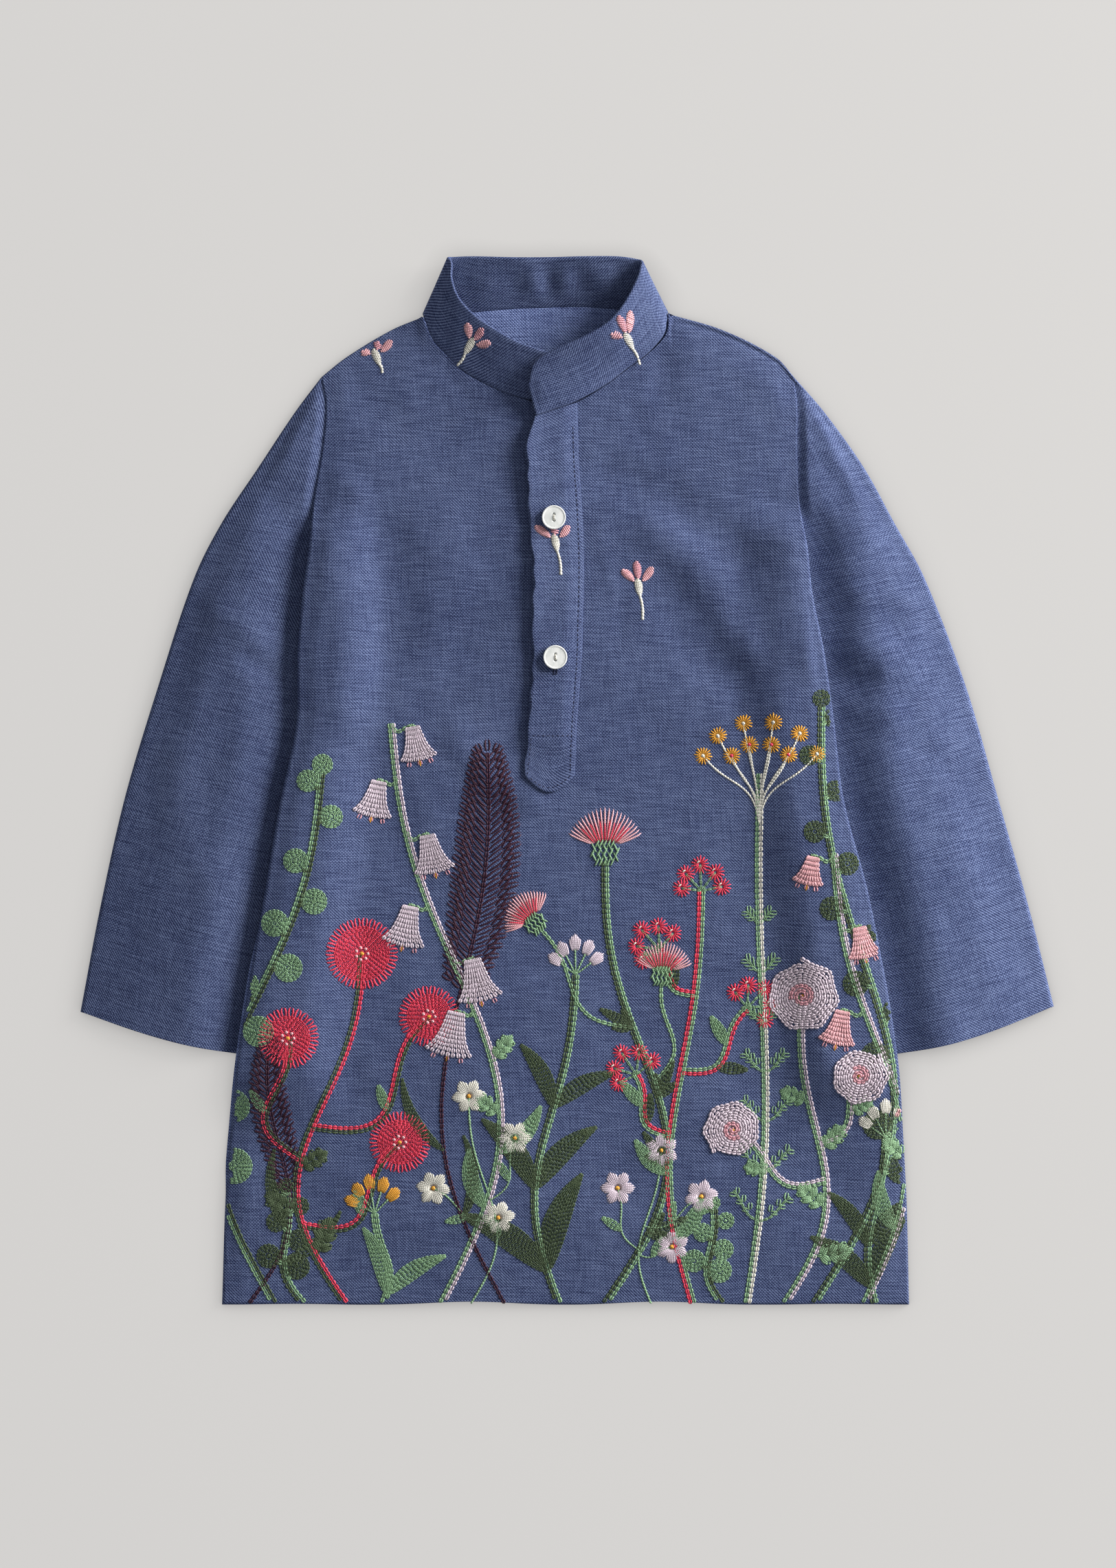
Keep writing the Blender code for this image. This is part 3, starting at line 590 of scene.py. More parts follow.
    def sleeve_puff(self, x: Array, y: Array, side: Side, share: Array) -> Array:
        """A sleeve's upper face above its edges; share runs from the outer edge inwards.

        Args:
            x: The points' X.
            y: The points' Y.
            side: Which sleeve it is.
            share: The points' places across the sleeve, from 0 at its outer edge to 1.

        Returns:
            The height above the edges at each point.
        """
        outside = side.value * (x - self.body_edge(y, side))
        at_armhole = 0.15 * eased(self.underarm, self.underarm + 20.0, y)
        ease = mix(at_armhole, 1.0, eased(1.0, 18.0, outside)) * eased(0.0, 0.3, share)
        soft = self.sleeve_puff_rest + self.fold_depth * fold_height(SLEEVE_FOLDS, x, y)
        fine = fold_height(FINE_SLEEVE_FOLDS, x, y)
        slope = self.sleeve_slope * np.minimum(share / self.slope_top, 1.0)
        slope = slope * mix(eased(0.0, self.dip_width, outside), 0.4, self.joined(y))
        return ease * (soft_limit(soft, self.sleeve_puff_most) + fine) + slope


LAID = LaidShape()


class Wire:
    """A shader socket whose operators add Math or Vector Math nodes."""

    def __init__(self, graph: "Graph", socket: bpy.types.NodeSocket, vector: bool = False) -> None:
        """Wraps a socket.

        Args:
            graph: The node tree that the socket is in.
            socket: The output socket.
            vector: True for a vector or colour, False for a number.
        """
        self.graph = graph
        self.socket = socket
        self.vector = vector

    def _join(self, operation: str, *others: Any, flipped: bool = False) -> "Wire":
        """The result of one operation on this socket and others.

        Args:
            operation: The Math or Vector Math node's operation.
            *others: The other wires, numbers or vectors.
            flipped: True to put this socket last.

        Returns:
            The node's result.
        """
        terms = [self, *others]
        if flipped:
            terms.reverse()
        is_vector = any(isinstance(t, tuple) or (isinstance(t, Wire) and t.vector) for t in terms)
        if is_vector:
            terms = [(t,) * 3 if isinstance(t, (int, float)) else t for t in terms]
        kind = "ShaderNodeVectorMath" if is_vector else "ShaderNodeMath"
        node = self.graph.node(kind, {"operation": operation}, dict(enumerate(terms)))
        return Wire(self.graph, node.outputs[0], is_vector)

    def __add__(self, other: Any) -> "Wire":
        """The sum of this and another."""
        return self._join("ADD", other)

    def __radd__(self, other: Any) -> "Wire":
        """The sum of another and this."""
        return self._join("ADD", other, flipped=True)

    def __sub__(self, other: Any) -> "Wire":
        """This less another."""
        return self._join("SUBTRACT", other)

    def __rsub__(self, other: Any) -> "Wire":
        """Another less this."""
        return self._join("SUBTRACT", other, flipped=True)

    def __mul__(self, other: Any) -> "Wire":
        """This times another."""
        return self._join("MULTIPLY", other)

    def __rmul__(self, other: Any) -> "Wire":
        """Another times this."""
        return self._join("MULTIPLY", other, flipped=True)

    def cosine(self) -> "Wire":
        """The cosine of a number in radians."""
        return self._join("COSINE")

    def between(self, low: float, high: float, out_low: float = 0.0, out_high: float = 1.0) -> "Wire":
        """The number's place between low and high, mapped smoothly to the outer values.

        Args:
            low: The input that gives out_low.
            high: The input that gives out_high.
            out_low: The lowest result.
            out_high: The highest result.

        Returns:
            The mapped number, held within the two results.
        """
        settings = {"interpolation_type": "SMOOTHSTEP"}
        inputs = {"Value": self, 1: low, 2: high, 3: out_low, 4: out_high}
        return Wire(self.graph, self.graph.node("ShaderNodeMapRange", settings, inputs).outputs[0])

    def part(self, index: int) -> "Wire":
        """One number of a vector."""
        node = self.graph.node("ShaderNodeSeparateXYZ", {}, {0: self})
        return Wire(self.graph, node.outputs[index])


class Graph:
    """A material's node tree, built by expressions on wires."""

    def __init__(self, name: str) -> None:
        """Starts an empty material.

        Args:
            name: The material's name.
        """
        self.material = bpy.data.materials.new(name)
        self.material.use_nodes = True
        self.tree = self.material.node_tree
        self.tree.nodes.clear()

    def node(self, kind: str, settings: dict[str, Any], inputs: dict[Any, Any]) -> bpy.types.Node:
        """A node of any kind.

        Args:
            kind: The node's type name.
            settings: Properties, set first; stops are a colour ramp's (place, colour) pairs.
            inputs: Socket names or numbers with the values or wires that feed them.

        Returns:
            The new node.
        """
        made = self.tree.nodes.new(kind)
        for key, value in settings.items():
            if key == "stops":
                self._set_stops(made.color_ramp, value)
            else:
                setattr(made, key, value)
        for key, value in inputs.items():
            socket = made.inputs[key]
            if isinstance(value, Wire):
                self.tree.links.new(value.socket, socket)
            else:
                socket.default_value = value
        return made

    def _set_stops(self, ramp: bpy.types.ColorRamp, stops: Sequence[tuple[float, tuple]]) -> None:
        """Gives a ramp its stops.

        Args:
            ramp: The colour ramp.
            stops: Its (place, colour) pairs.
        """
        while len(ramp.elements) < len(stops):
            ramp.elements.new(1.0)
        for element, (place, colour) in zip(ramp.elements, stops):
            element.position = place
            element.color = (*colour, 1.0)

    def grain(self) -> Wire:
        """Each point's place in its cloth or its thread."""
        node = self.node("ShaderNodeAttribute", {"attribute_name": "grain"}, {})
        return Wire(self, node.outputs["Vector"], True)

    def place(self) -> Wire:
        """Each point's place on its object, in metres."""
        return Wire(self, self.node("ShaderNodeTexCoord", {}, {}).outputs["Object"], True)

    def vector(self, x: Wire, y: Wire) -> Wire:
        """A vector of two numbers, flat in the third."""
        node = self.node("ShaderNodeCombineXYZ", {}, {0: x, 1: y})
        return Wire(self, node.outputs[0], True)

    def noise(self, place: Wire, scale: float, detail: float = 2.0, roughness: float = 0.5) -> Wire:
        """Soft noise from 0 to 1 at a place; scale is in lumps per unit of the place."""
        inputs = {"Vector": place, "Scale": scale, "Detail": detail, "Roughness": roughness}
        return Wire(self, self.node("ShaderNodeTexNoise", {}, inputs).outputs[0])

    def blend(self, share: Any, first: Any, second: Any) -> Wire:
        """A colour a share of the way from the first to the second.

        Args:
            share: How much of the second there is, from 0 to 1.
            first: A colour or a wire.
            second: A colour or a wire.

        Returns:
            The blended colour.
        """
        settings = {"data_type": "RGBA"}
        colours = [c if isinstance(c, Wire) else (*c, 1.0) for c in (first, second)]
        node = self.node("ShaderNodeMix", settings, {0: share, 6: colours[0], 7: colours[1]})
        return Wire(self, node.outputs[2], True)

    def bump(self, height: Wire, distance: float, strength: float) -> Wire:
        """A normal from a height."""
        inputs = {"Height": height, "Distance": distance, "Strength": strength}
        return Wire(self, self.node("ShaderNodeBump", {}, inputs).outputs[0], True)

    def finish(self, **sockets: Any) -> bpy.types.Material:
        # Painted light: the back's cloth, seen from above mainly in the neck hole where the standing
        # collar shades it, is painted 1.75 times lighter.
        """Ends the tree in a Principled shader whose sockets are named with underscores.

        Args:
            **sockets: The shader's inputs.

        Returns:
            The finished material.
        """
        # Painted light and shade: the left sleeve's cloth is painted darker (0.9) and the right sleeve's
        # lighter (1.24), for the low key light from the right.
        inputs = {name.replace("_", " "): value for name, value in sockets.items()}
        shader = self.node("ShaderNodeBsdfPrincipled", {}, inputs)
        output = self.node("ShaderNodeOutputMaterial", {}, {})
        self.tree.links.new(shader.outputs[0], output.inputs[0])
        return self.material


def linear(red: int, green: int, blue: int) -> tuple[float, float, float]:
    """A screen colour from 0 to 255 as linear light."""
    shares = [c / 255 for c in (red, green, blue)]
    return tuple(s / 12.92 if s <= 0.04045 else ((s + 0.055) / 1.055) ** 2.4 for s in shares)


@dataclass(frozen=True)
class ClothFinish:
    """Slubby plain-weave cloth of dark warp and pale weft threads."""

    name: str
    # A scale on the whole colour: painted light above 1, painted shade below 1, 1 for none.
    lightness: float = 1.0
    dark: tuple[float, float, float] = linear(32, 40, 74)
    middle: tuple[float, float, float] = linear(76, 88, 126)
    pale: tuple[float, float, float] = linear(126, 140, 178)
    pink: tuple[float, float, float] = linear(92, 76, 112)
    pitch: float = 0.73
    bump_height: float = 0.00014
    weave_contrast: float = 0.72
    slub_contrast: float = 2.05
    grit_contrast: float = 0.7
    cloud_contrast: float = 0.26

    def material(self) -> bpy.types.Material:
        """Builds the cloth from the mesh's grain, whose unit is a millimetre.

        Returns:
            The new material.
        """
        graph = Graph(self.name)
        grain = graph.grain()
        sway = graph.noise(grain, 0.11, 1.0) * 1.6 + graph.noise(grain, 0.9, 1.0) * 0.22
        swayed = grain + graph.vector(sway, sway * -0.7)
        across, along = swayed.part(0), swayed.part(1)
        weft = graph.noise(graph.vector(across * 0.07 + along * 0.83, along * 1.9), 1.0, 3.0, 0.62)
        warp = graph.noise(graph.vector(across * 1.9, along * 0.07 + across * 0.83), 1.0, 3.0, 0.62)
        turn = math.pi / self.pitch
        falling = ((across + along) * turn).cosine()
        rising = ((across - along) * turn).cosine()
        bias = graph.noise(grain, 0.05, 2.0).between(0.38, 0.66, 0.02, 0.40)
        weave = 0.5 + (0.5 + bias) * falling * 0.5 + (0.5 - bias) * rising * 0.5
        grit = graph.noise(grain, 1.6, 2.0, 0.7)
        slub = weft * 0.62 + warp * 0.38
        tone = weave * self.weave_contrast + slub * self.slub_contrast + grit * self.grit_contrast - 1.285
        cloud = graph.noise(grain, 0.018, 3.0, 0.55)
        tone = tone + cloud * self.cloud_contrast - 0.5 * self.cloud_contrast
        stops = ((0.06, self.dark), (0.47, self.middle), (0.95, self.pale))
        ramp = graph.node("ShaderNodeValToRGB", {"stops": stops}, {0: tone})
        pink_share = graph.noise(grain * (0.7, 1.0, 1.0), 0.9, 2.0).between(0.55, 0.78, 0.0, 0.12)
        colour = graph.blend(pink_share, Wire(graph, ramp.outputs[0], True), self.pink)
        # Painted light and shade: the whole colour is scaled per piece by how light falls on it.
        colour = colour * self.lightness
        height = weave * 0.55 + slub * 0.9 + grit * 0.2
        return graph.finish(
            Base_Color=colour,
            Roughness=slub.between(0.3, 0.7, 0.78, 0.92),
            Normal=graph.bump(height, self.bump_height, 0.9),
            Specular_IOR_Level=0.12,
        )


@dataclass(frozen=True)
class ShellFinish:
    """Off-white shell of a button, softly clouded."""

    name: str = "button shell"
    pale: tuple[float, float, float] = linear(248, 249, 247)
    cloudy: tuple[float, float, float] = linear(226, 229, 227)

    def material(self) -> bpy.types.Material:
        """Builds the shell from the button's own place.

        Returns:
            The new material.
        """
        graph = Graph(self.name)
        place = graph.place()
        cloud = graph.noise(place * (1.0, 0.6, 1.0), 340.0, 3.0)
        layers = graph.noise(place * (0.4, 1.0, 1.0), 1400.0, 2.0)
        colour = graph.blend(cloud.between(0.35, 0.7), self.pale, self.cloudy)
        return graph.finish(
            Base_Color=colour,
            Roughness=layers.between(0.3, 0.7, 0.16, 0.34),
            Coat_Weight=cloud.between(0.3, 0.7, 0.15, 0.4),
            Coat_Roughness=0.12,
            Specular_IOR_Level=0.55,
        )


@dataclass(frozen=True)
class FloorFinish:
    """A plain pale floor, with a painted shadow round the cloth."""

    name: str = "pale floor"
    colour: tuple[float, float, float] = linear(217, 215, 213)
    own_light: float = 0.84
    shade_reach: float = 0.014
    shade: float = 0.62
    shade_samples: int = 12
    clouding: float = 0.97

    def material(self) -> bpy.types.Material:
        """Builds the floor, which mostly gives its own light and so stays even, with a painted shadow
        close to the cloth.

        Returns:
            The new material.
        """
        graph = Graph(self.name)
        place = graph.place()
        cloud = graph.noise(place, 3.0, 2.0)
        # Painted shadow: the floor's own light is darkened by ambient occlusion where the cloth stands
        # close over it.
        settings = {"samples": self.shade_samples}
        occlusion = graph.node("ShaderNodeAmbientOcclusion", settings, {"Distance": self.shade_reach})
        closed = 1.0 - Wire(graph, occlusion.outputs["AO"])
        own = graph.blend(closed * self.shade, self.colour, (0.0, 0.0, 0.0))
        lit = tuple((1.0 - self.own_light) * c for c in self.colour)
        darker = tuple(self.clouding * c for c in lit)
        return graph.finish(
            Base_Color=graph.blend(cloud, lit, darker),
            Roughness=1.0,
            Specular_IOR_Level=0.0,
            Emission_Color=own,
            Emission_Strength=self.own_light,
        )


def rolled(distance: Array, radius: float) -> Array:
    """How far an edge with a round fall has dropped at a distance inside it."""
    reach = np.clip(radius - distance, 0.0, radius)
    return radius - np.sqrt(np.maximum(radius**2 - reach**2, 0.0))


@dataclass(frozen=True)
class Rumple:
    """Low, uneven waves that soft cloth keeps, as a sum of bent sine waves."""

    wavelength: float
    depth: float
    seed: int
    waves: int = 7
    shortest: float = 0.7
    longest: float = 1.9
    bend: float = 1.7
    bend_length: float = 2.3

    def at(self, x: Array, y: Array) -> Array:
        """The waves' height at plan points.

        Args:
            x: The points' X.
            y: The points' Y.

        Returns:
            The height at each point.
        """
        chance = np.random.default_rng(self.seed)
        total = np.zeros(np.broadcast(x, y).shape)
        for _ in range(self.waves):
            turn = chance.uniform(0.0, math.tau)
            length = self.wavelength * chance.uniform(self.shortest, self.longest)
            phase, bend_phase = chance.uniform(0.0, math.tau, 2)
            along = x * math.cos(turn) + y * math.sin(turn)
            across = y * math.cos(turn) - x * math.sin(turn)
            bend = self.bend * np.sin(across * math.tau / (self.bend_length * length) + bend_phase)
            total += np.sin(along * math.tau / length + phase + bend)
        return total * self.depth / math.sqrt(self.waves)


SOFT_RUMPLE = Rumple(30.0, 0.13, 11)
FINE_RUMPLE = Rumple(11.0, 0.05, 23)


def shown(
    name: str, points: Array, faces: list[list[int]], grain: Array, material: bpy.types.Material
) -> bpy.types.Object:
    """Adds a smooth object that rides on the part's body.

    Args:
        name: The object's name.
        points: Its points in millimetres.
        faces: Each face's point numbers.
        grain: Each point's place in the cloth or the thread.
        material: Its finish.

    Returns:
        The new object.
    """
    mesh = bpy.data.meshes.new(name)
    mesh.from_pydata((points * METRES).tolist(), [], faces)
    mesh.shade_smooth()
    layer = mesh.attributes.new("grain", "FLOAT_VECTOR", "POINT")
    layer.data.foreach_set("vector", grain.astype(np.float32).ravel())
    mesh.materials.append(material)
    made = bpy.data.objects.new(name, mesh)
    bpy.context.scene.collection.objects.link(made)
    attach(made, "root")
    LOG.info("%s: %d faces", name, len(faces))
    return made


@dataclass
class Surface:
    """Quads over points in millimetres, with each point's place in its cloth's grain."""

    points: Array
    faces: Array
    grain: Array

    @classmethod
    def of_rows(
        cls, points: Array, grain: Array, keep: Array | None = None, ring: bool = False
    ) -> "Surface":
        """A surface through rows of points.

        Args:
            points: Rows by columns by 3.
            grain: The grain at each point, shaped as the points.
            keep: Which cells the surface has; all of them without it.
            ring: True if each row closes on itself.

        Returns:
            The surface, with no unused points.
        """
        rows, columns = points.shape[:2]
        index = np.arange(rows * columns).reshape(rows, columns)
        if ring:
            index = np.concatenate([index, index[:, :1]], 1)
        faces = np.stack([index[:-1, :-1], index[:-1, 1:], index[1:, 1:], index[1:, :-1]], -1)
        faces = faces.reshape(-1, 4) if keep is None else faces[keep]
        used, inverse = np.unique(faces, return_inverse=True)
        return cls(points.reshape(-1, 3)[used], inverse.reshape(-1, 4), grain.reshape(-1, 3)[used])

    def normals(self) -> Array:
        """The unit normal at each point.

        Returns:
            A vector of length 1 for each point.
        """
        corners = [self.points[self.faces[:, k]] for k in range(4)]
        facing = np.cross(corners[2] - corners[0], corners[3] - corners[1])
        total = np.zeros_like(self.points)
        for k in range(4):
            np.add.at(total, self.faces[:, k], facing)
        return total / np.maximum(np.linalg.norm(total, axis=1, keepdims=True), 1e-9)

    def shell(self, wall: float) -> "Surface":
        """A closed shell whose outer face is this surface and whose wall lies under it.

        Args:
            wall: The wall's thickness.

        Returns:
            The closed shell.
        """
        count = len(self.points)
        under = self.points - self.normals() * wall
        edges = np.concatenate([self.faces[:, [k, (k + 1) % 4]] for k in range(4)])
        forward = edges[:, 0] * count + edges[:, 1]
        backward = edges[:, 1] * count + edges[:, 0]
        rim = edges[~np.isin(backward, forward)]
        sides = np.stack([rim[:, 1], rim[:, 0], rim[:, 0] + count, rim[:, 1] + count], -1)
        faces = np.concatenate([self.faces, self.faces[:, ::-1] + count, sides])
        return Surface(np.concatenate([self.points, under]), faces, np.tile(self.grain, (2, 1)))

    def show(self, name: str, material: bpy.types.Material) -> bpy.types.Object:
        """Adds the surface to the scene as a smooth object on the part's body."""
        return shown(name, self.points, self.faces.tolist(), self.grain, material)


def stations(length: float, cell: float, fine: Sequence[float] = ()) -> Array:
    """Places from 0 to a length, about a cell apart, with finer ones at both ends.

    Args:
        length: The last place.
        cell: The distance between places in the middle.
        fine: The finer places at each end, rising from 0.

    Returns:
        Rising places, both ends among them.
    """
    edge = fine[-1] if fine else 0.0
    count = max(1, round((length - 2.0 * edge) / cell))
    middle = np.linspace(edge, length - edge, count + 1)
    ends = np.asarray(fine[:-1], float)
    return np.concatenate([ends, middle, (length - ends)[::-1]]) if fine else middle


EDGE_STEPS = (0.0, 0.2, 0.5, 0.9, 1.4, 2.1, 3.2)


@dataclass
class BodyPanel:
    """A body panel between its neck curve, its shoulders, its sides and the hem."""

    name: str
    neck_left: Sequence[Spot]
    neck_right: Sequence[Spot]
    cell: float
    wall: float
    neck_ends: tuple[float, float, float, float] = (0.21, 0.485, 0.487, 0.735)
    hem_wave: float = 0.9
    hem_waves: float = 3.5

    def shares(self) -> Array:
        """The places of the columns across the panel, from 0 to 1.

        Returns:
            Rising shares, finer at both sides.
        """
        hem_width = float(LAID.body_edge(LAID.hem, Side.RIGHT) - LAID.body_edge(LAID.hem, Side.LEFT))
        ends = (0.0, *self.neck_ends, 1.0)
        fine = np.asarray(EDGE_STEPS) / hem_width
        places = []
        for start, end in zip(ends, ends[1:]):
            count = max(1, round((end - start) * hem_width / self.cell))
            places.append(np.linspace(start, end, count, endpoint=False))
        inner = np.concatenate(places)
        inner = inner[(inner > fine[-1]) & (inner < 1.0 - fine[-1])]
        return np.concatenate([fine, inner, 1.0 - fine[::-1]])

    def plan(self, shares: Array, heights: Array) -> Array:
        """Plan points at shares across and heights up the side edges.

        Args:
            shares: Places of the columns, from 0 at the left edge to 1.
            heights: Heights of the rows where they meet the side edges.

        Returns:
            Rows by columns by 2 plan points.
        """
        ends = self.neck_ends
        spans = (
            (0.0, ends[0], PlanPath(LEFT_SHOULDER)),
            (ends[0], ends[1], PlanPath(self.neck_left)),
            (ends[2], ends[3], PlanPath(self.neck_right)),
            (ends[3], 1.0, PlanPath(RIGHT_SHOULDER)),
        )
        top = np.zeros((len(shares), 2))
        for start, end, path in spans:
            within = (shares >= start - 1e-9) & (shares <= end + 1e-9)
            top[within] = path.at((shares[within] - start) / (end - start))
        rise = ((heights - LAID.hem) / (LAID.tip - LAID.hem))[:, None, None]
        hem_left, hem_right = (float(LAID.body_edge(LAID.hem, side)) for side in Side)
        wave = np.sin(math.pi * shares) * (1.0 + np.sin(self.hem_waves * math.tau * shares))
        hem_x = mix(hem_left, hem_right, shares)
        hem = np.stack([hem_x, LAID.hem + self.hem_wave * wave], -1)
        flat_hem = np.stack([hem_x, np.full_like(shares, LAID.hem)], -1)
        tip_x = mix(LEFT_SHOULDER[0].x, RIGHT_SHOULDER[-1].x, shares)
        flat_tip = np.stack([tip_x, np.full_like(shares, LAID.tip)], -1)
        across = shares[None, :, None]
        left = np.stack([LAID.body_edge(heights, Side.LEFT), heights], -1)[:, None, :]
        right = np.stack([LAID.body_edge(heights, Side.RIGHT), heights], -1)[:, None, :]
        sides = mix(left, right, across)
        return mix(hem, top, rise) + sides - mix(flat_hem, flat_tip, rise)

    def rows(self) -> Array:
        """The heights of the rows, close together at the hem and at the shoulders."""
        return LAID.hem + stations(LAID.tip - LAID.hem, self.cell, EDGE_STEPS)

    def top(self, x: Array, y: Array) -> Array:
        """The panel's upper face."""
        raise NotImplementedError

    def keep(self, x: Array, y: Array) -> Array | None:
        """Which cells the panel has."""
        return None

    def surface(self) -> Surface:
        """The panel's upper face as a surface.

        Returns:
            The surface, without its wall.
        """
        plan = self.plan(self.shares(), self.rows())
        x, y = plan[..., 0], plan[..., 1]
        points = np.stack([x, y, self.top(x, y)], -1)
        grain = np.stack([x, y, np.zeros_like(x)], -1)
        return Surface.of_rows(points, grain, self.keep(x, y))


@dataclass
class Front(BodyPanel):
    """The front, rolled down at its seams and hem, with the placket's slit."""

    name: str = "front_cloth"
    neck_left: Sequence[Spot] = FRONT_NECK_LEFT
    neck_right: Sequence[Spot] = FRONT_NECK_RIGHT
    cell: float = 2.7
    wall: float = 0.9
    edge_roll: float = 1.6
    pucker: float = 0.14
    pucker_inset: float = 3.0
    pucker_width: float = 3.6
    seam_depth: float = 0.6
    seam_inset: float = 2.3
    seam_width: float = 0.8
    seam_from: tuple[float, float] = (50.0, 62.0)
    calm_edge: float = 14.0
    slit_bottom: float = 22.0

    def top(self, x: Array, y: Array) -> Array:
        """The upper face with its rumples, falling round at the seams and the hem.

        Args:
            x: The points' X.
            y: The points' Y.

        Returns:
            The face's height at each point.
        """
        to_side = LAID.inside(x, y)
        to_hem = y - LAID.hem
        to_shoulder = LAID.shoulder_height(x) - y
        nearest = np.minimum(np.minimum(to_side, to_hem), to_shoulder)
        rumple = SOFT_RUMPLE.at(x, y) + FINE_RUMPLE.at(x, y)
        rumple = rumple * eased(0.0, self.calm_edge, nearest)
        at_arm = eased(LAID.underarm, LAID.underarm + 16.0, y)
        beside = np.exp(-(((to_side - self.pucker_inset) / self.pucker_width) ** 2))
        pucker = self.pucker * beside * np.sin(1.2 * y + np.sin(0.31 * y))
        roll = rolled(nearest, self.edge_roll * mix(1.0, 0.6, at_arm))
        seam = self.seam_depth * np.exp(-(((to_shoulder - self.seam_inset) / self.seam_width) ** 2))
        seam = seam * eased(*self.seam_from, x)
        return LAID.front_top(x, y) + rumple + at_arm * pucker - roll - seam

    def keep(self, x: Array, y: Array) -> Array | None:
        """All cells but the slit's, above its bottom.

        Args:
            x: The points' X.
            y: The points' Y.

        Returns:
            True for each cell that the front has.
        """
        shares = self.shares()
        slit = np.abs(shares[:-1] - self.neck_ends[1]) < 1e-6
        return ~(slit[None, :] & (y[:-1, :-1] > self.slit_bottom))


@dataclass
class Back(BodyPanel):
    """The back, flat on the floor and lifted where it rides over the sleeves."""

    name: str = "back_cloth"
    neck_left: Sequence[Spot] = BACK_NECK_LEFT
    neck_right: Sequence[Spot] = BACK_NECK_RIGHT
    cell: float = 5.0
    wall: float = 1.0
    peek: float = 1.1
    neck_wave: float = 0.45

    def top(self, x: Array, y: Array) -> Array:
        """The upper face, with a soft wave in the neck hole.

        Args:
            x: The points' X.
            y: The points' Y.

        Returns:
            The face's height at each point.
        """
        in_neck = eased(176.0, 200.0, y) * eased(20.0, 45.0, LAID.inside(x, y))
        wave = 0.5 * (1.0 + np.sin(x / 7.5 + 0.9 * np.sin(x / 17.0))) * self.neck_wave
        return LAID.back_top(x, y) + in_neck * wave * (1.0 - eased(222.0, 227.0, y))

    def surface(self) -> Surface:
        """The upper face, whose low left edge peeks out beside the front's.

        Returns:
            The surface, without its wall.
        """
        made = super().surface()
        x, y = made.points[:, 0], made.points[:, 1]
        near = 1.0 - eased(0.0, 12.0, x - LAID.body_edge(y, Side.LEFT))
        made.points[:, 0] -= self.peek * near * eased(-200.0, -180.0, y) * (1.0 - eased(-90.0, -70.0, y))
        return made


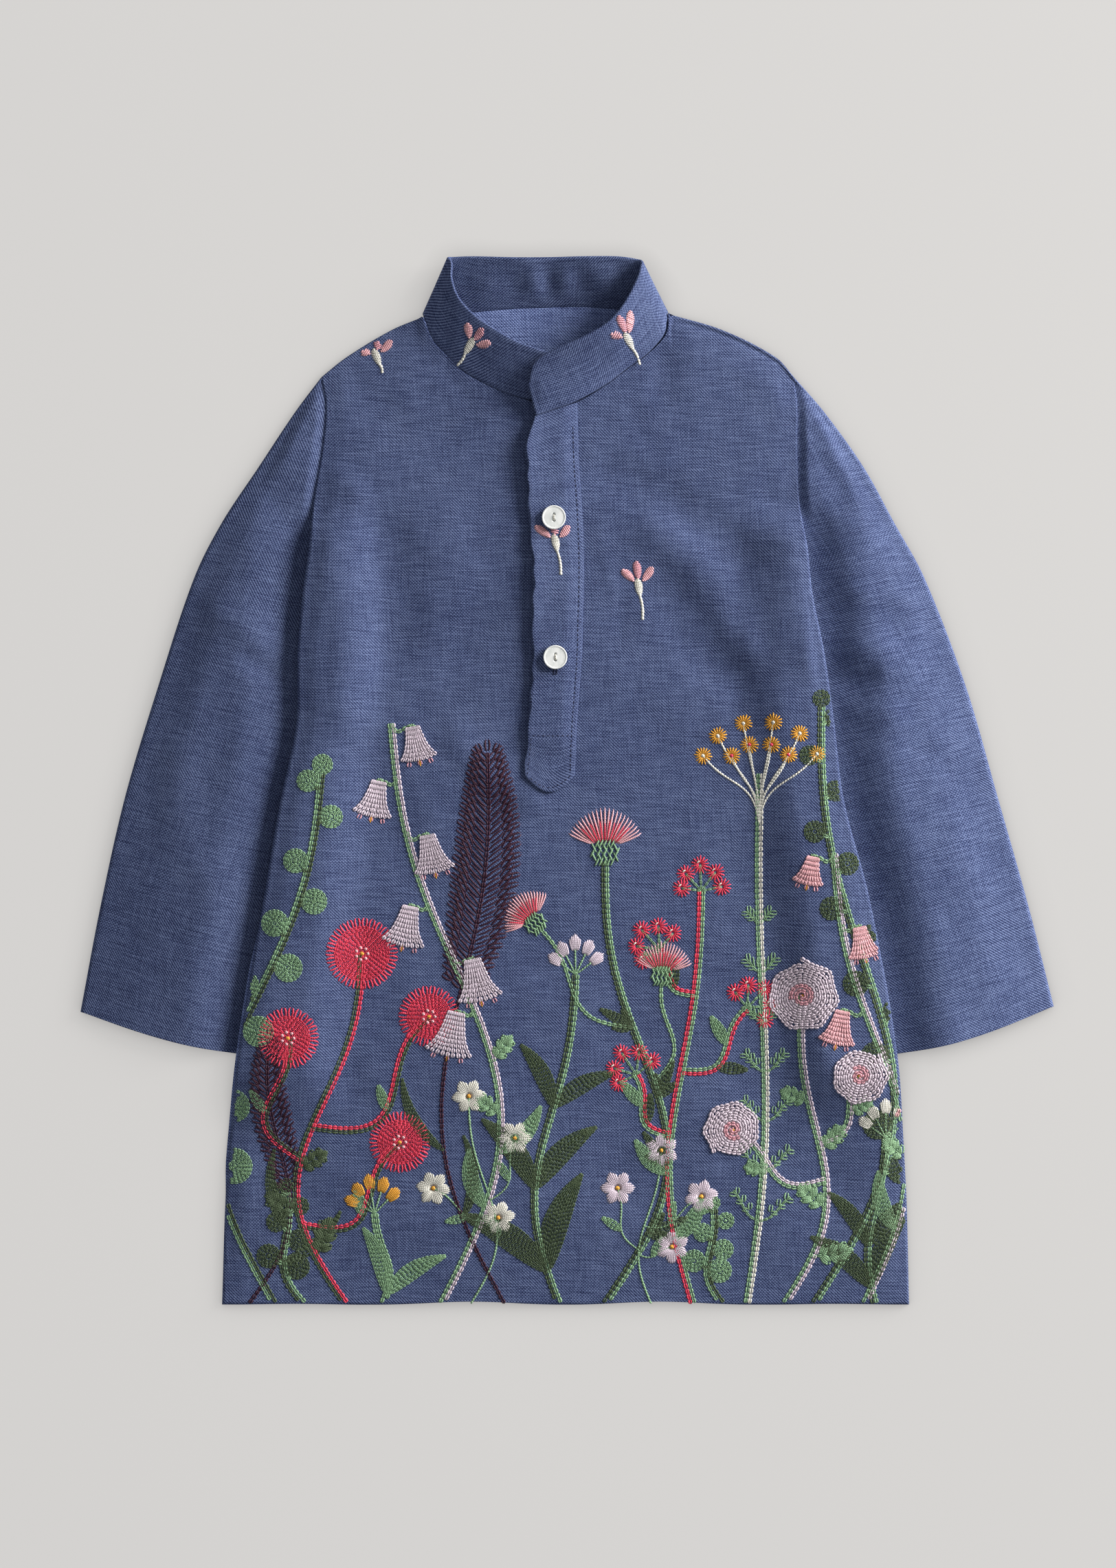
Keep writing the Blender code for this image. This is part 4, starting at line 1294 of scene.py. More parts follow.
@dataclass
class Sleeve:
    """A sleeve: a flattened tube whose upper layer runs in under the front's armhole edge."""

    side: Side
    cuff_bow: float
    cell: float = 2.7
    wall: float = 0.9
    outer_start: float = 0.0
    outer_underarm: float = 0.27
    tip_in: float = 7.0
    tuck_in: float = 4.5
    tuck_reach: float = 40.0
    groove: float = 1.1
    groove_width: float = 5.0
    turn_steps: int = 7
    across: int = 36
    crowding: float = 1.15
    calm_edge: float = 12.0
    rumple: float = 0.8
    tip_reach: float = 14.0
    tip_drop: float = 1.5
    tuck_points: int = 15
    weave: float = 9.0

    @property
    def node(self) -> str:
        """The CAD node it stands for."""
        return "sleeve_l" if self.side is Side.LEFT else "sleeve_r"

    @property
    def name(self) -> str:
        """The object's name."""
        return f"{self.node}_cloth"

    def armhole(self) -> PlanPath:
        """The upper layer's armhole edge, just inside the front's.

        Returns:
            The edge from the shoulder tip to the underarm.
        """
        spots = []
        for section in reversed(BODY_SECTIONS):
            if section.height >= LAID.underarm:
                edge = section.left if self.side is Side.LEFT else section.right
                at_tip = float(eased(LAID.tip - self.tip_reach, LAID.tip, section.height))
                inwards = mix(self.tuck_in, self.tip_in, at_tip)
                spots.append((edge - self.side.value * inwards, section.height - self.tip_drop * at_tip))
        return PlanPath(spots)

    def tuck(self) -> PlanPath:
        """The inner edge from the underarm down to the cuff.

        Returns:
            The edge in plan.
        """
        heights = np.linspace(LAID.underarm, TUCK_SECTIONS[0].height, self.tuck_points)
        inwards = self.tuck_in * eased(LAID.underarm - self.tuck_reach, LAID.underarm, heights)
        edge = LAID.tuck_edge(heights, self.side) - self.side.value * inwards
        return PlanPath(np.column_stack([edge, heights]))

    def ring(self, outer: Array, inner: Array, bow: float, folded: bool) -> Array:
        """One ring: the upper layer inwards-out, round the outer fold, the lower layer and back.

        Args:
            outer: The outer edge's plan point.
            inner: The inner edge's plan point.
            bow: How far the ring's middle hangs towards the cuff.
            folded: True where the inner edge is folded and not an armhole.

        Returns:
            The ring's points, of the same count for every ring.
        """
        way = (inner - outer) / np.linalg.norm(inner - outer)
        thick = float(LAID.sleeve_edge_at(inner[1]))
        radius = 0.5 * thick
        begin = outer + way * radius
        end = inner - way * radius if folded else inner
        share = 1.0 - (1.0 - np.linspace(0.0, 1.0, self.across + 1)) ** self.crowding
        plan = begin + (end - begin) * share[:, None]
        plan[:, 1] -= bow * np.sin(math.pi * share)
        x, y = plan[:, 0], plan[:, 1]
        nearest = np.minimum(share, 1.0 - share) * np.linalg.norm(end - begin)
        rumple = (SOFT_RUMPLE.at(x, y) + FINE_RUMPLE.at(x, y)) * eased(0.0, self.calm_edge, nearest)
        outside = self.side.value * (x - LAID.body_edge(y, self.side))
        dip = mix(LAID.dip_floor, 1.0, np.maximum(eased(0.0, LAID.dip_width, outside), LAID.joined(y)))
        top = thick * dip + LAID.sleeve_puff(x, y, self.side, share) + rumple * self.rumple
        if not folded:
            sunk = 1.0 - eased(0.0, self.groove_width, outside)
            low = np.minimum(top, LAID.panel * 2.0 + LAID.layer_gap - self.groove)
            level = LAID.front_top(x, y) - self.groove * (1.0 - 0.4 * LAID.joined(y))
            top = mix(top, mix(low, level, LAID.joined(y)), sunk)
        turns = np.radians(np.linspace(0.0, 180.0, self.turn_steps + 2)[1:-1])
        upper = np.stack([x, y, top], -1)
        lower = np.stack([x, y, np.zeros_like(x)], -1)
        fold_plan = begin - way * radius * np.sin(turns)[:, None]
        outer_turn = np.column_stack([fold_plan, radius * (1.0 + np.cos(turns))])
        fold_plan = end + way * radius * np.sin(turns)[:, None]
        inner_turn = np.column_stack([fold_plan, radius * (1.0 - np.cos(turns))])
        return np.concatenate([upper[::-1], outer_turn, lower, inner_turn])

    def surface(self) -> Surface:
        """The whole tube's outer face.

        Returns:
            The surface, without its wall.
        """
        outer = PlanPath(OUTER_EDGES[self.side])
        armhole, tuck = self.armhole(), self.tuck()
        rings = []
        cap_rows = round(armhole.length / self.cell)
        for share in np.linspace(0.0, 1.0, cap_rows, endpoint=False):
            at_outer = outer.at(mix(self.outer_start, self.outer_underarm, share))
            at_inner = armhole.at(share)
            rings.append(self.ring(at_outer, at_inner, 0.0, False))
        arm_length = (1.0 - self.outer_underarm) * outer.length
        for share in stations(arm_length, self.cell, EDGE_STEPS)[len(EDGE_STEPS) - 1 :] / arm_length:
            at_outer = outer.at(mix(self.outer_underarm, 1.0, share))
            bow = self.cuff_bow * float(eased(0.6, 1.0, share))
            rings.append(self.ring(at_outer, tuck.at(share), bow, True))
        points = np.stack(rings)
        upper = self.across + 1
        middle = upper + self.turn_steps // 2
        around = run_around(points)
        around = (around - around[:, middle : middle + 1]) * self.side.value
        along = run_along(points[:, middle])
        down = np.broadcast_to(-along[:, None], around.shape)
        grain = np.stack([around, down, np.full_like(around, self.weave)], -1)
        columns = points.shape[1]
        open_side = np.zeros((len(points) - 1, columns), bool)
        open_side[:cap_rows, 2 * upper + self.turn_steps - 1 :] = True
        if self.side is Side.RIGHT:
            points, grain = points[:, ::-1], grain[:, ::-1]
            open_side = np.concatenate([open_side[:, -2::-1], open_side[:, -1:]], 1)
        return Surface.of_rows(points, grain, ~open_side, ring=True)


def banded(middle: Array, wall: float, turns: int, cap_ends: bool = False) -> Array:
    """Rings of a flat band with round edges on its middle surface.

    Args:
        middle: Rows by columns by 3 points of the band's middle.
        wall: The band's thickness.
        turns: Points on each round edge.
        cap_ends: True to round the first and last rows off as well.

    Returns:
        Rows by ring points by 3.
    """
    along = np.gradient(middle, axis=0)
    across = np.gradient(middle, axis=1)
    normal = np.cross(across, along)
    normal /= np.linalg.norm(normal, axis=2, keepdims=True)
    across /= np.linalg.norm(across, axis=2, keepdims=True)
    half = np.full(len(middle), 0.5 * wall)
    if cap_ends:
        run = along[:, :1] / np.linalg.norm(along[:, :1], axis=2, keepdims=True)
        angles = np.radians([80.0, 55.0, 28.0])
        first = [middle[:1] - run[:1] * 0.5 * wall * math.sin(a) for a in angles]
        last = [middle[-1:] + run[-1:] * 0.5 * wall * math.sin(a) for a in angles[::-1]]
        middle = np.concatenate([*first, middle, *last])
        normal = np.concatenate([normal[:1].repeat(3, 0), normal, normal[-1:].repeat(3, 0)])
        across = np.concatenate([across[:1].repeat(3, 0), across, across[-1:].repeat(3, 0)])
        ends = 0.5 * wall * np.cos(angles)
        half = np.concatenate([ends, half, ends[::-1]])
    half = half[:, None, None]
    outer = middle + normal * half
    inner = middle - normal * half
    sweep = np.radians(np.linspace(0.0, 180.0, turns + 2)[1:-1])
    turned = [normal * math.cos(a) + across * math.sin(a) for a in sweep]
    far = [middle[:, -1:] + half * way[:, -1:] for way in turned]
    near = [middle[:, :1] - half * way[:, :1] for way in turned]
    return np.concatenate([outer, *far, inner[:, ::-1], *near], 1)


def band_grain(rings: Array, weave: float) -> Array:
    """The grain of a band: along its length and around its section.

    Args:
        rings: The band's rows by ring points by 3.
        weave: A number that keeps its weave apart from other pieces.

    Returns:
        The grain at each point.
    """
    around = run_around(rings)
    along = np.broadcast_to(run_along(rings.mean(1))[:, None], around.shape)
    return np.stack([along, around, np.full_like(around, weave)], -1)


def strip(middle: Array, wall: float, turns: int, weave: float, cap_ends: bool = False) -> Surface:
    """A flat strip with round edges, whose grain runs along it.

    Args:
        middle: Rows by columns by 3 points of the strip's middle, from its left edge.
        wall: The strip's thickness.
        turns: Points on each round edge.
        weave: A number that keeps its weave apart from other pieces.
        cap_ends: True to round the first and last rows off as well.

    Returns:
        The strip's whole outer face.
    """
    rings = banded(middle[:, ::-1], wall, turns, cap_ends)
    return Surface.of_rows(rings, band_grain(rings, weave)[..., [1, 0, 2]], ring=True)


@dataclass
class Collar:
    """The stand collar: one band from its hidden left end round the back to its right end."""

    name: str = "collar_cloth"
    wall: float = 1.5
    steps: int = 9
    across: int = 14
    ripple: float = 0.35
    back_ripple: float = 0.8
    weave: float = 21.0

    def middle(self) -> Array:
        """The band's middle surface, rippled a little towards its free edge.

        Returns:
            Rows by columns by 3 points.
        """
        keys = np.arange(len(COLLAR_SECTIONS))
        at = np.linspace(0.0, keys[-1], self.steps * (len(keys) - 1) + 1)
        columns = [Smooth(keys, column)(at) for column in list(zip(*COLLAR_SECTIONS))[1:]]
        base = np.stack(columns[:3], -1)[:, None, :]
        top = np.stack(columns[3:], -1)[:, None, :]
        share = np.linspace(0.0, 1.0, self.across + 1)[None, :, None]
        middle = mix(base, top, share)
        wave = np.sin(at * 2.1) * 0.6 + np.sin(at * 3.7 + 1.0) * 0.4
        at_back = eased(8.5, 9.5, at) * (1.0 - eased(13.0, 14.0, at))
        wave = self.ripple * wave + self.back_ripple * at_back * np.sin(5.6 * at + np.sin(1.7 * at))
        middle[..., 2] += wave[:, None] * np.sin(math.pi * share[..., 0]) ** 2
        return middle

    def surface(self) -> Surface:
        """The band's whole outer face."""
        rings = banded(self.middle(), self.wall, 4, cap_ends=True)
        return Surface.of_rows(rings, band_grain(rings, self.weave), ring=True)


@dataclass
class Placket:
    """The overlap strip over the slit and the button stand that peeks out under it."""

    name: str = "placket_cloth"
    stand_name: str = "placket_stand_cloth"
    wall: float = 1.1
    stand_wall: float = 0.9
    steps: int = 14
    across: int = 16
    toe: float = 7.5
    stand_inset: tuple[float, float] = (0.6, 9.0)
    stand_bottom: float = 24.0
    stand_run_out: float = 14.0
    stand_side: tuple[float, float] = (0.64, 1.0)
    stand_height: float = 1.3
    lift_share: float = 0.7
    edge_wave: float = 0.4
    peek: float = 0.7
    sewn_drop: float = 0.35
    stand_across: int = 6
    stand_rise: float = 0.5
    weave: float = 33.0
    stand_weave: float = 45.0

    def rows(self) -> Array:
        """The row numbers down a strip, with steps between the listed sections."""
        last = len(PLACKET_SECTIONS) - 1
        return np.linspace(0.0, last, self.steps * last + 1)

    def lines(self, at: Array) -> list[Array]:
        """The strip's listed values at row numbers between its sections, with a wavy free edge.

        Args:
            at: Row numbers, with parts of a row between them.

        Returns:
            An array for each of the listed values.
        """
        keys = np.arange(len(PLACKET_SECTIONS))
        lines = [Smooth(keys, column)(at) for column in list(zip(*PLACKET_SECTIONS))[1:]]
        lines[0] = lines[0] + self.edge_wave * np.sin(0.42 * lines[1] + np.sin(0.13 * lines[1]))
        return lines

    def underside(self, x: Array, y: Array, share: Array) -> Array:
        """The overlap's lower face, over the stand or, past it, down on the front.

        Args:
            x: The points' X.
            y: The points' Y.
            share: The points' places across, from 0 at the free edge to 1.

        Returns:
            The face's height at each point.
        """
        over_stand = 1.0 - eased(*self.stand_side, share)
        over_stand = over_stand * eased(self.stand_bottom - self.stand_run_out, self.stand_bottom - 1.0, y)
        return LAID.front_top(x, y) + LAID.layer_gap + over_stand * self.stand_height

    def top(self, x: Array, y: Array) -> Array:
        """The overlap's upper face at plan points.

        Args:
            x: The points' X.
            y: The points' Y.

        Returns:
            The face's height at each point.
        """
        rows = PLACKET_SECTIONS[::-1]
        keys = [row.free_y for row in rows]
        free, sewn, lift = (
            Smooth(keys, values)(y)
            for values in zip(*[(row.free_x, row.sewn_x, row.lift) for row in rows])
        )
        share = np.clip((x - free) / (sewn - free), 0.0, 1.0)
        rise = self.lift_share * lift * (1.0 - share) ** 3
        return self.underside(x, y, share) + rise + 0.5 * (LAID.panel + self.wall)

    def surface(self) -> Surface:
        """The overlap strip.

        Returns:
            The strip's whole outer face.
        """
        at = self.rows()
        free_x, free_y, sewn_x, sewn_y, lift = (line[:, None] for line in self.lines(at))
        share = np.linspace(0.0, 1.0, self.across + 1)[None, :]
        toe = self.toe * eased(at[-1] - 1.0, at[-1], at)[:, None]
        x, y = mix(free_x, sewn_x, share), mix(free_y, sewn_y, share)
        y = y - toe * np.sin(math.pi * share)
        rise = self.lift_share * lift * (1.0 - share) ** 3
        z = self.underside(x, y, share) + rise + 0.5 * LAID.panel
        z = z - self.sewn_drop * eased(0.86, 1.0, share)
        return strip(np.stack([x, y, z], -1), self.wall, 4, self.weave, True)

    def stand_surface(self) -> Surface:
        """The stand strip.

        Returns:
            The strip's whole outer face.
        """
        free_x, free_y, sewn_x, sewn_y, _ = (line[:, None] for line in self.lines(self.rows()))
        kept = free_y[:, 0] >= self.stand_bottom
        free_x, free_y, sewn_x, sewn_y = (v[kept] for v in (free_x, free_y, sewn_x, sewn_y))
        share = np.linspace(0.0, 1.0, self.stand_across + 1)[None, :]
        left_inset = self.stand_inset[0] - self.peek * (1.0 + np.sin(0.21 * free_y))
        inset = mix(left_inset, sewn_x - free_x - self.stand_inset[1], share)
        x = free_x + inset
        y = mix(free_y, sewn_y, inset / (sewn_x - free_x))
        z = LAID.front_top(x, y) + LAID.layer_gap + self.stand_rise
        return strip(np.stack([x, y, z], -1), self.stand_wall, 3, self.stand_weave)


class Floss(Enum):
    """The colours of the embroidery floss."""

    CORAL = linear(236, 70, 96)
    PINK = linear(246, 182, 188)
    ROSE = linear(224, 164, 175)
    LILAC = linear(222, 206, 218)
    IVORY = linear(230, 227, 216)
    SAGE = linear(142, 178, 138)
    OLIVE = linear(82, 98, 70)
    AUBERGINE = linear(62, 27, 48)
    YELLOW = linear(232, 170, 66)
    NAVY = linear(44, 50, 84)


@dataclass(frozen=True)
class FlossFinish:
    """Twisted, slightly shiny floss."""

    floss: Floss
    turn_pitch: float = 0.9
    plies: float = 2.0
    bump_height: float = 0.00012
    darkest: float = 0.62
    palest: float = 1.2

    def material(self) -> bpy.types.Material:
        """Builds the floss from each stitch's own run, girth and chance.

        Returns:
            The new material.
        """
        graph = Graph(f"{self.floss.name.lower()} floss")
        grain = graph.grain()
        run, girth, chance = (grain.part(k) for k in range(3))
        twist = (run * (math.tau / self.turn_pitch) + girth * (math.tau * self.plies)).cosine()
        ply = twist * 0.5 + 0.5
        fuzz = graph.noise(grain * (3.0, 2.0, 40.0), 1.3, 2.0)
        # Painted shade and highlight: the ply term darkens the grooves between the plies and lightens
        # their crests, as the bump raises them; fuzz and chance are the floss's own uneven tone.
        shade = ply * 0.36 + fuzz * 0.3 + chance * 0.4 + 0.04
        dark = tuple(c * self.darkest for c in self.floss.value)
        pale = tuple(min(1.0, c * self.palest + 0.012) for c in self.floss.value)
        return graph.finish(
            Base_Color=graph.blend(shade, dark, pale),
            Roughness=fuzz.between(0.3, 0.7, 0.42, 0.6),
            Normal=graph.bump(ply, self.bump_height, 0.8),
            Specular_IOR_Level=0.3,
        )


class Station(NamedTuple):
    """A place along a stitch: the share of its run, and its girth, bow and height there."""

    share: float
    girth: float
    bow: float
    height: float


STITCH_STATIONS = (
    Station(0.0, 0.0, 0.0, -0.35),
    Station(0.2, 0.85, 0.72, 0.75),
    Station(0.5, 1.0, 1.0, 1.0),
    Station(0.8, 0.85, 0.86, 0.75),
    Station(1.0, 0.0, 0.0, -0.35),
)
RING_SPOTS = ((-0.5, 0.18), (0.0, 1.0), (0.5, 0.18), (0.0, -0.25))
RING = len(RING_SPOTS)
STITCH_POINTS = 2 + 3 * RING


def direction(degrees: float) -> Array:
    """A plan direction, counted from +X towards +Y."""
    return np.array([math.cos(math.radians(degrees)), math.sin(math.radians(degrees))])


def sideways(ways: Array) -> Array:
    """Plan directions turned a quarter to the left."""
    return np.stack([-ways[..., 1], ways[..., 0]], -1)


def axes(degrees: float) -> tuple[Array, Array]:
    """A plan direction and the one a quarter to its left."""
    return direction(degrees), sideways(direction(degrees))


@dataclass
class Needlework:
    """Stitches on one ground, kept by floss until they are made."""

    LINK_JITTER = 0.12
    STEM_STITCH = 1.5
    STEM_SLANT = 0.16
    ROW_ASIDE = 0.95
    LEAF_ROW = 1.35
    RING_APART = 1.4

    label: str
    ground: Callable[[Array, Array], Array]
    seed: int = 5
    kept: dict[Floss, list[Array]] = field(default_factory=dict)

    def __post_init__(self) -> None:
        """Starts the chance that makes stitches uneven."""
        self.chance = np.random.default_rng(self.seed)

    def straight(
        self,
        floss: Floss,
        start: Array,
        end: Array,
        width: float = 0.8,
        height: float = 0.45,
        bow: Any = 0.0,
        lift: Any = 0.0,
    ) -> None:
        """Keeps one stitch, or many alike.

        Args:
            floss: Their colour.
            start: Plan points where they come up.
            end: Plan points where they go down.
            width: The thread's width on the cloth.
            height: Its height over the cloth.
            bow: How far the middle lies to the left of the straight way.
            lift: How much higher the stitches lie, over others.
        """
        start, end = np.atleast_2d(start), np.atleast_2d(end)
        uneven = self.chance.uniform(0.86, 1.12, len(start))
        facts = [np.broadcast_to(v, (len(start),)) for v in (width * uneven, height, bow, lift)]
        self.kept.setdefault(floss, []).append(np.column_stack([start, end, *facts]))

    def chain(
        self, floss: Floss, path: Array, link: float = 2.5, width: float = 2.0, lift: float = 0.0
    ) -> None:
        """A row of chain stitch along a polyline.

        Args:
            floss: Its colour.
            path: The polyline in plan.
            link: How long a link is.
            width: How wide the row is.
            lift: How much higher it lies, over other stitches.
        """
        length = run_along(path)[-1]
        count = max(1, round(length / link))
        marks = np.linspace(0.0, length, count + 1)
        marks[1:-1] += self.chance.uniform(-self.LINK_JITTER, self.LINK_JITTER, count - 1) * link
        spots = spots_along(path, marks)
        along = spots[1:] - spots[:-1]
        start, end = spots[:-1] - 0.1 * along, spots[1:] + 0.12 * along
        thread = 0.5 * width
        for turn in (-0.5, 0.5):
            bow = turn * (width - 0.8 * thread) * self.chance.uniform(0.85, 1.1, count)
            self.straight(floss, start, end, thread, 0.5, bow, lift)

    def stem(self, path: Array, first: Floss, second: Floss | None = None) -> None:
        """A stem of one chain row, or of two rows side by side.

        Args:
            path: The polyline in plan.
            first: The left row's colour.
            second: The right row's, if there is one.
        """
        if second is None:
            self.chain(first, path)
            return
        ways = np.gradient(path, axis=0)
        aside = sideways(ways / np.linalg.norm(ways, axis=1, keepdims=True)) * self.ROW_ASIDE
        self.chain(first, path + aside)
        self.chain(second, path - aside)

    def twisted(self, floss: Floss, path: Array, width: float = 0.8) -> None:
        """A thin stem stitch: short stitches that lie a little across the line.

        Args:
            floss: Its colour.
            path: The polyline in plan.
            width: The thread's width.
        """
        length = run_along(path)[-1]
        count = max(1, round(length / self.STEM_STITCH))
        spots = spots_along(path, np.linspace(0.0, length, count + 1))
        along = spots[1:] - spots[:-1]
        aside = sideways(along) * self.STEM_SLANT
        self.straight(floss, spots[:-1] - 0.2 * along - aside, spots[1:] + 0.2 * along + aside, width, 0.5)

    def lance_leaf(
        self, floss: Floss, base: Array, turn: float, length: float, width: float, bend: float = 0.0
    ) -> None:
        """A pointed leaf filled with chain rows that run from its base to its tip.

        Args:
            floss: Its colour.
            base: The plan point where it starts.
            turn: The way it points, in degrees.
            length: How long it is.
            width: How wide it is.
            bend: How far it bows to its left, as a share of its length.
        """
        rows = max(2, round(width / self.LEAF_ROW))
        share = np.linspace(0.0, 1.0, 15)
        way, side = axes(turn)
        for place in np.linspace(-1.0, 1.0, rows):
            trim = 0.10 * (1.0 - abs(place))
            t = trim + share * (1.0 - 1.6 * trim)
            belly = np.sin(math.pi * t**0.85) ** 0.8 * 0.5 * (width - 1.2) * place
            spine = bend * length * t * (1.0 - t) * 4.0
            path = base + way * (length * t)[:, None] + side * (belly + spine)[:, None]
            self.chain(floss, path, link=2.1, width=self.LEAF_ROW, lift=0.05 * (1.0 - abs(place)))

    def round_leaf(self, floss: Floss, centre: Array, radius: float) -> None:
        """A disc filled with rings of chain stitch.

        Args:
            floss: Its colour.
            centre: Its middle in plan.
            radius: How far it reaches from its middle.
        """
        turns = np.linspace(0.0, math.tau, 25) + self.chance.uniform(0.0, math.tau)
        ring = np.column_stack([np.cos(turns), np.sin(turns)])
        for reach in np.arange(radius - 0.5 * self.RING_APART, 0.6, -self.RING_APART):
            self.chain(floss, centre + ring * reach, link=2.0, width=1.5)
        self.straight(floss, centre - direction(40.0) * 0.8, centre + direction(40.0) * 0.8, 0.8, 0.5)

    def disc(self, floss: Floss, centre: Array, radius: float, count: int) -> None:
        """A small round of stitches that meet in the middle.

        Args:
            floss: Its colour.
            centre: Its middle in plan.
            radius: How far it reaches from its middle.
            count: How many stitches it has.
        """
        turns = np.arange(count) * math.tau / count + self.chance.uniform(0.0, 1.0)
        rays = np.column_stack([np.cos(turns), np.sin(turns)])
        reach = radius * self.chance.uniform(0.9, 1.08, (count, 1))
        self.straight(floss, centre + rays * 0.25, centre + rays * reach, 0.9, 0.55)

    def bead(self, floss: Floss, centre: Array, size: float) -> None:
        """A knot: three short stitches laid across each other.

        Args:
            floss: Its colour.
            centre: Its middle in plan.
            size: How wide it is.
        """
        start = self.chance.uniform(0.0, 60.0)
        for k in range(3):
            way = direction(start + 60.0 * k) * 0.5 * size
            self.straight(floss, centre - way, centre + way, 0.62 * size, 0.6, 0.0, 0.1 * k)

    def petal(
        self, floss: Floss, base: Array, turn: float, length: float, width: float, count: int
    ) -> None:
        """A satin petal: stitches side by side from its narrow base to its round end.

        Args:
            floss: Its colour.
            base: The plan point where it starts.
            turn: The way it points, in degrees.
            length: How long it is.
            width: How wide it is.
            count: How many stitches it has.
        """
        way, side = axes(turn)
        place = np.linspace(-1.0, 1.0, count)
        reach = length * (1.0 - 0.22 * place**2) * self.chance.uniform(0.96, 1.04, count)
        foot = base + side * (place * width * 0.16)[:, None]
        head = base + way * reach[:, None] + side * (place * width * 0.42)[:, None]
        thread = width / count * 1.35
        self.straight(floss, foot, head, thread, 0.55, place * width * 0.08, 0.06 * (1.0 - abs(place)))

    def loop(self, floss: Floss, base: Array, turn: float, length: float, width: float) -> None:
        """One large open chain link.

        Args:
            floss: Its colour.
            base: The plan point where it starts.
            turn: The way it points, in degrees.
            length: How long it is.
            width: How wide it is.
        """
        head = base + direction(turn) * length
        for hand in (-0.5, 0.5):
            self.straight(floss, base, head, 0.34 * width, 0.5, hand * 0.72 * width)

    def make(self) -> list[bpy.types.Object]:
        """Makes one object for each floss that was used."""
        return [self._make_floss(floss, np.concatenate(rows)) for floss, rows in self.kept.items()]

    def _make_floss(self, floss: Floss, rows: Array) -> bpy.types.Object:
        """Makes the stitches of one floss.

        Args:
            floss: Which floss it is.
            rows: Each stitch's start, end, width, height, bow and lift.

        Returns:
            The object that holds the stitches.
        """
        count = len(rows)
        start, end = rows[:, :2], rows[:, 2:4]
        width, height, bow, lift = rows[:, 4:].T
        run = end - start
        length = np.linalg.norm(run, axis=1)
        side = sideways(run / np.maximum(length, 1e-6)[:, None])
        luck = self.chance.uniform(0.0, 1.0, count)
        spots, grains = [], []
        for place in STITCH_STATIONS:
            centre = start + run * place.share + side * (bow * place.bow)[:, None]
            level = self.ground(centre[:, 0], centre[:, 1]) + lift
            ring = RING_SPOTS if place.girth else ((0.0, place.height),)
            for k, (out, up) in enumerate(ring):
                plan = centre + side * (out * width * place.girth)[:, None]
                rise = level + height * (up * place.height if place.girth else up)
                spots.append(np.column_stack([plan, rise]))
                grains.append(np.column_stack([length * place.share, np.full(count, k / RING), luck]))
        points = np.stack(spots, 1).reshape(-1, 3)
        grain = np.stack(grains, 1).reshape(-1, 3)
        tips, bands = [], []
        last = STITCH_POINTS - 1
        for k in range(RING):
            after = (k + 1) % RING
            tips += [(0, 1 + after, 1 + k), (last, last - RING + k, last - RING + after)]
            for r in (1, 1 + RING):
                bands.append((r + k, r + after, r + RING + after, r + RING + k))
        offsets = (np.arange(count) * STITCH_POINTS)[:, None, None]
        faces = (np.array(tips) + offsets).reshape(-1, 3).tolist()
        faces += (np.array(bands) + offsets).reshape(-1, 4).tolist()
        return shown(f"{self.label}_{floss.name.lower()}", points, faces, grain, floss_material(floss))


def floss_material(floss: Floss) -> bpy.types.Material:
    """The floss's material, made once."""
    name = f"{floss.name.lower()} floss"
    return bpy.data.materials.get(name) or FlossFinish(floss).material()


class Sprig(NamedTuple):
    """A small blossom in plan: a point near each petal's tip, one in the calyx and the stem's end."""

    place: str
    left: tuple[float, float]
    middle: tuple[float, float]
    right: tuple[float, float]
    calyx: tuple[float, float]
    stem: tuple[float, float]


SPRIGS = {
    "front": (
        Sprig("shoulder", (-95.9, 205.0), (-90.7, 208.0), (-85.4, 209.0), (-91.3, 203.4), (-88.4, 195.2)),
        Sprig("chest", (28.0, 99.7), (33.3, 103.0), (39.5, 100.4), (34.0, 93.5), (35.9, 77.4)),
    ),
    "collar": (
        Sprig("left", (-47.1, 215.8), (-41.5, 213.5), (-38.9, 208.3), (-46.4, 208.0), (-52.6, 198.8)),
        Sprig("right", (23.1, 211.9), (25.4, 218.8), (30.0, 221.1), (29.0, 210.2), (34.6, 199.1)),
    ),
    "placket_top": (
        Sprig("button", (-13.3, 120.7), (-6.0, 119.0), (-0.5, 120.0), (-5.7, 114.5), (-3.1, 98.7)),
    ),
}


def sew_ribbed(
    work: Needlework, floss: Floss, base: Array, tip: Array, width: float, widest: float
) -> None:
    """Sews a slim oval of slanting stitches laid across it.

    Args:
        work: Where the stitches are kept.
        floss: Their colour.
        base: One end in plan.
        tip: The other end.
        width: The oval's greatest width.
        widest: The share of its length where it is widest.
    """
    run = tip - base
    length = float(np.linalg.norm(run))
    way = run / length
    count = max(4, round(length / 0.8))
    share = np.linspace(0.03, 0.97, count)
    bend = np.where(share < widest, 0.5 * share / widest, 0.5 + 0.5 * (share - widest) / (1.0 - widest))
    half = 0.5 * width * np.sin(math.pi * bend) ** 0.45
    middle = base + run * share[:, None]
    aside = sideways(way) * half[:, None] + way * (0.3 * half)[:, None]
    work.straight(floss, middle - aside, middle + aside, 1.0, 0.5, 0.12, 0.08)


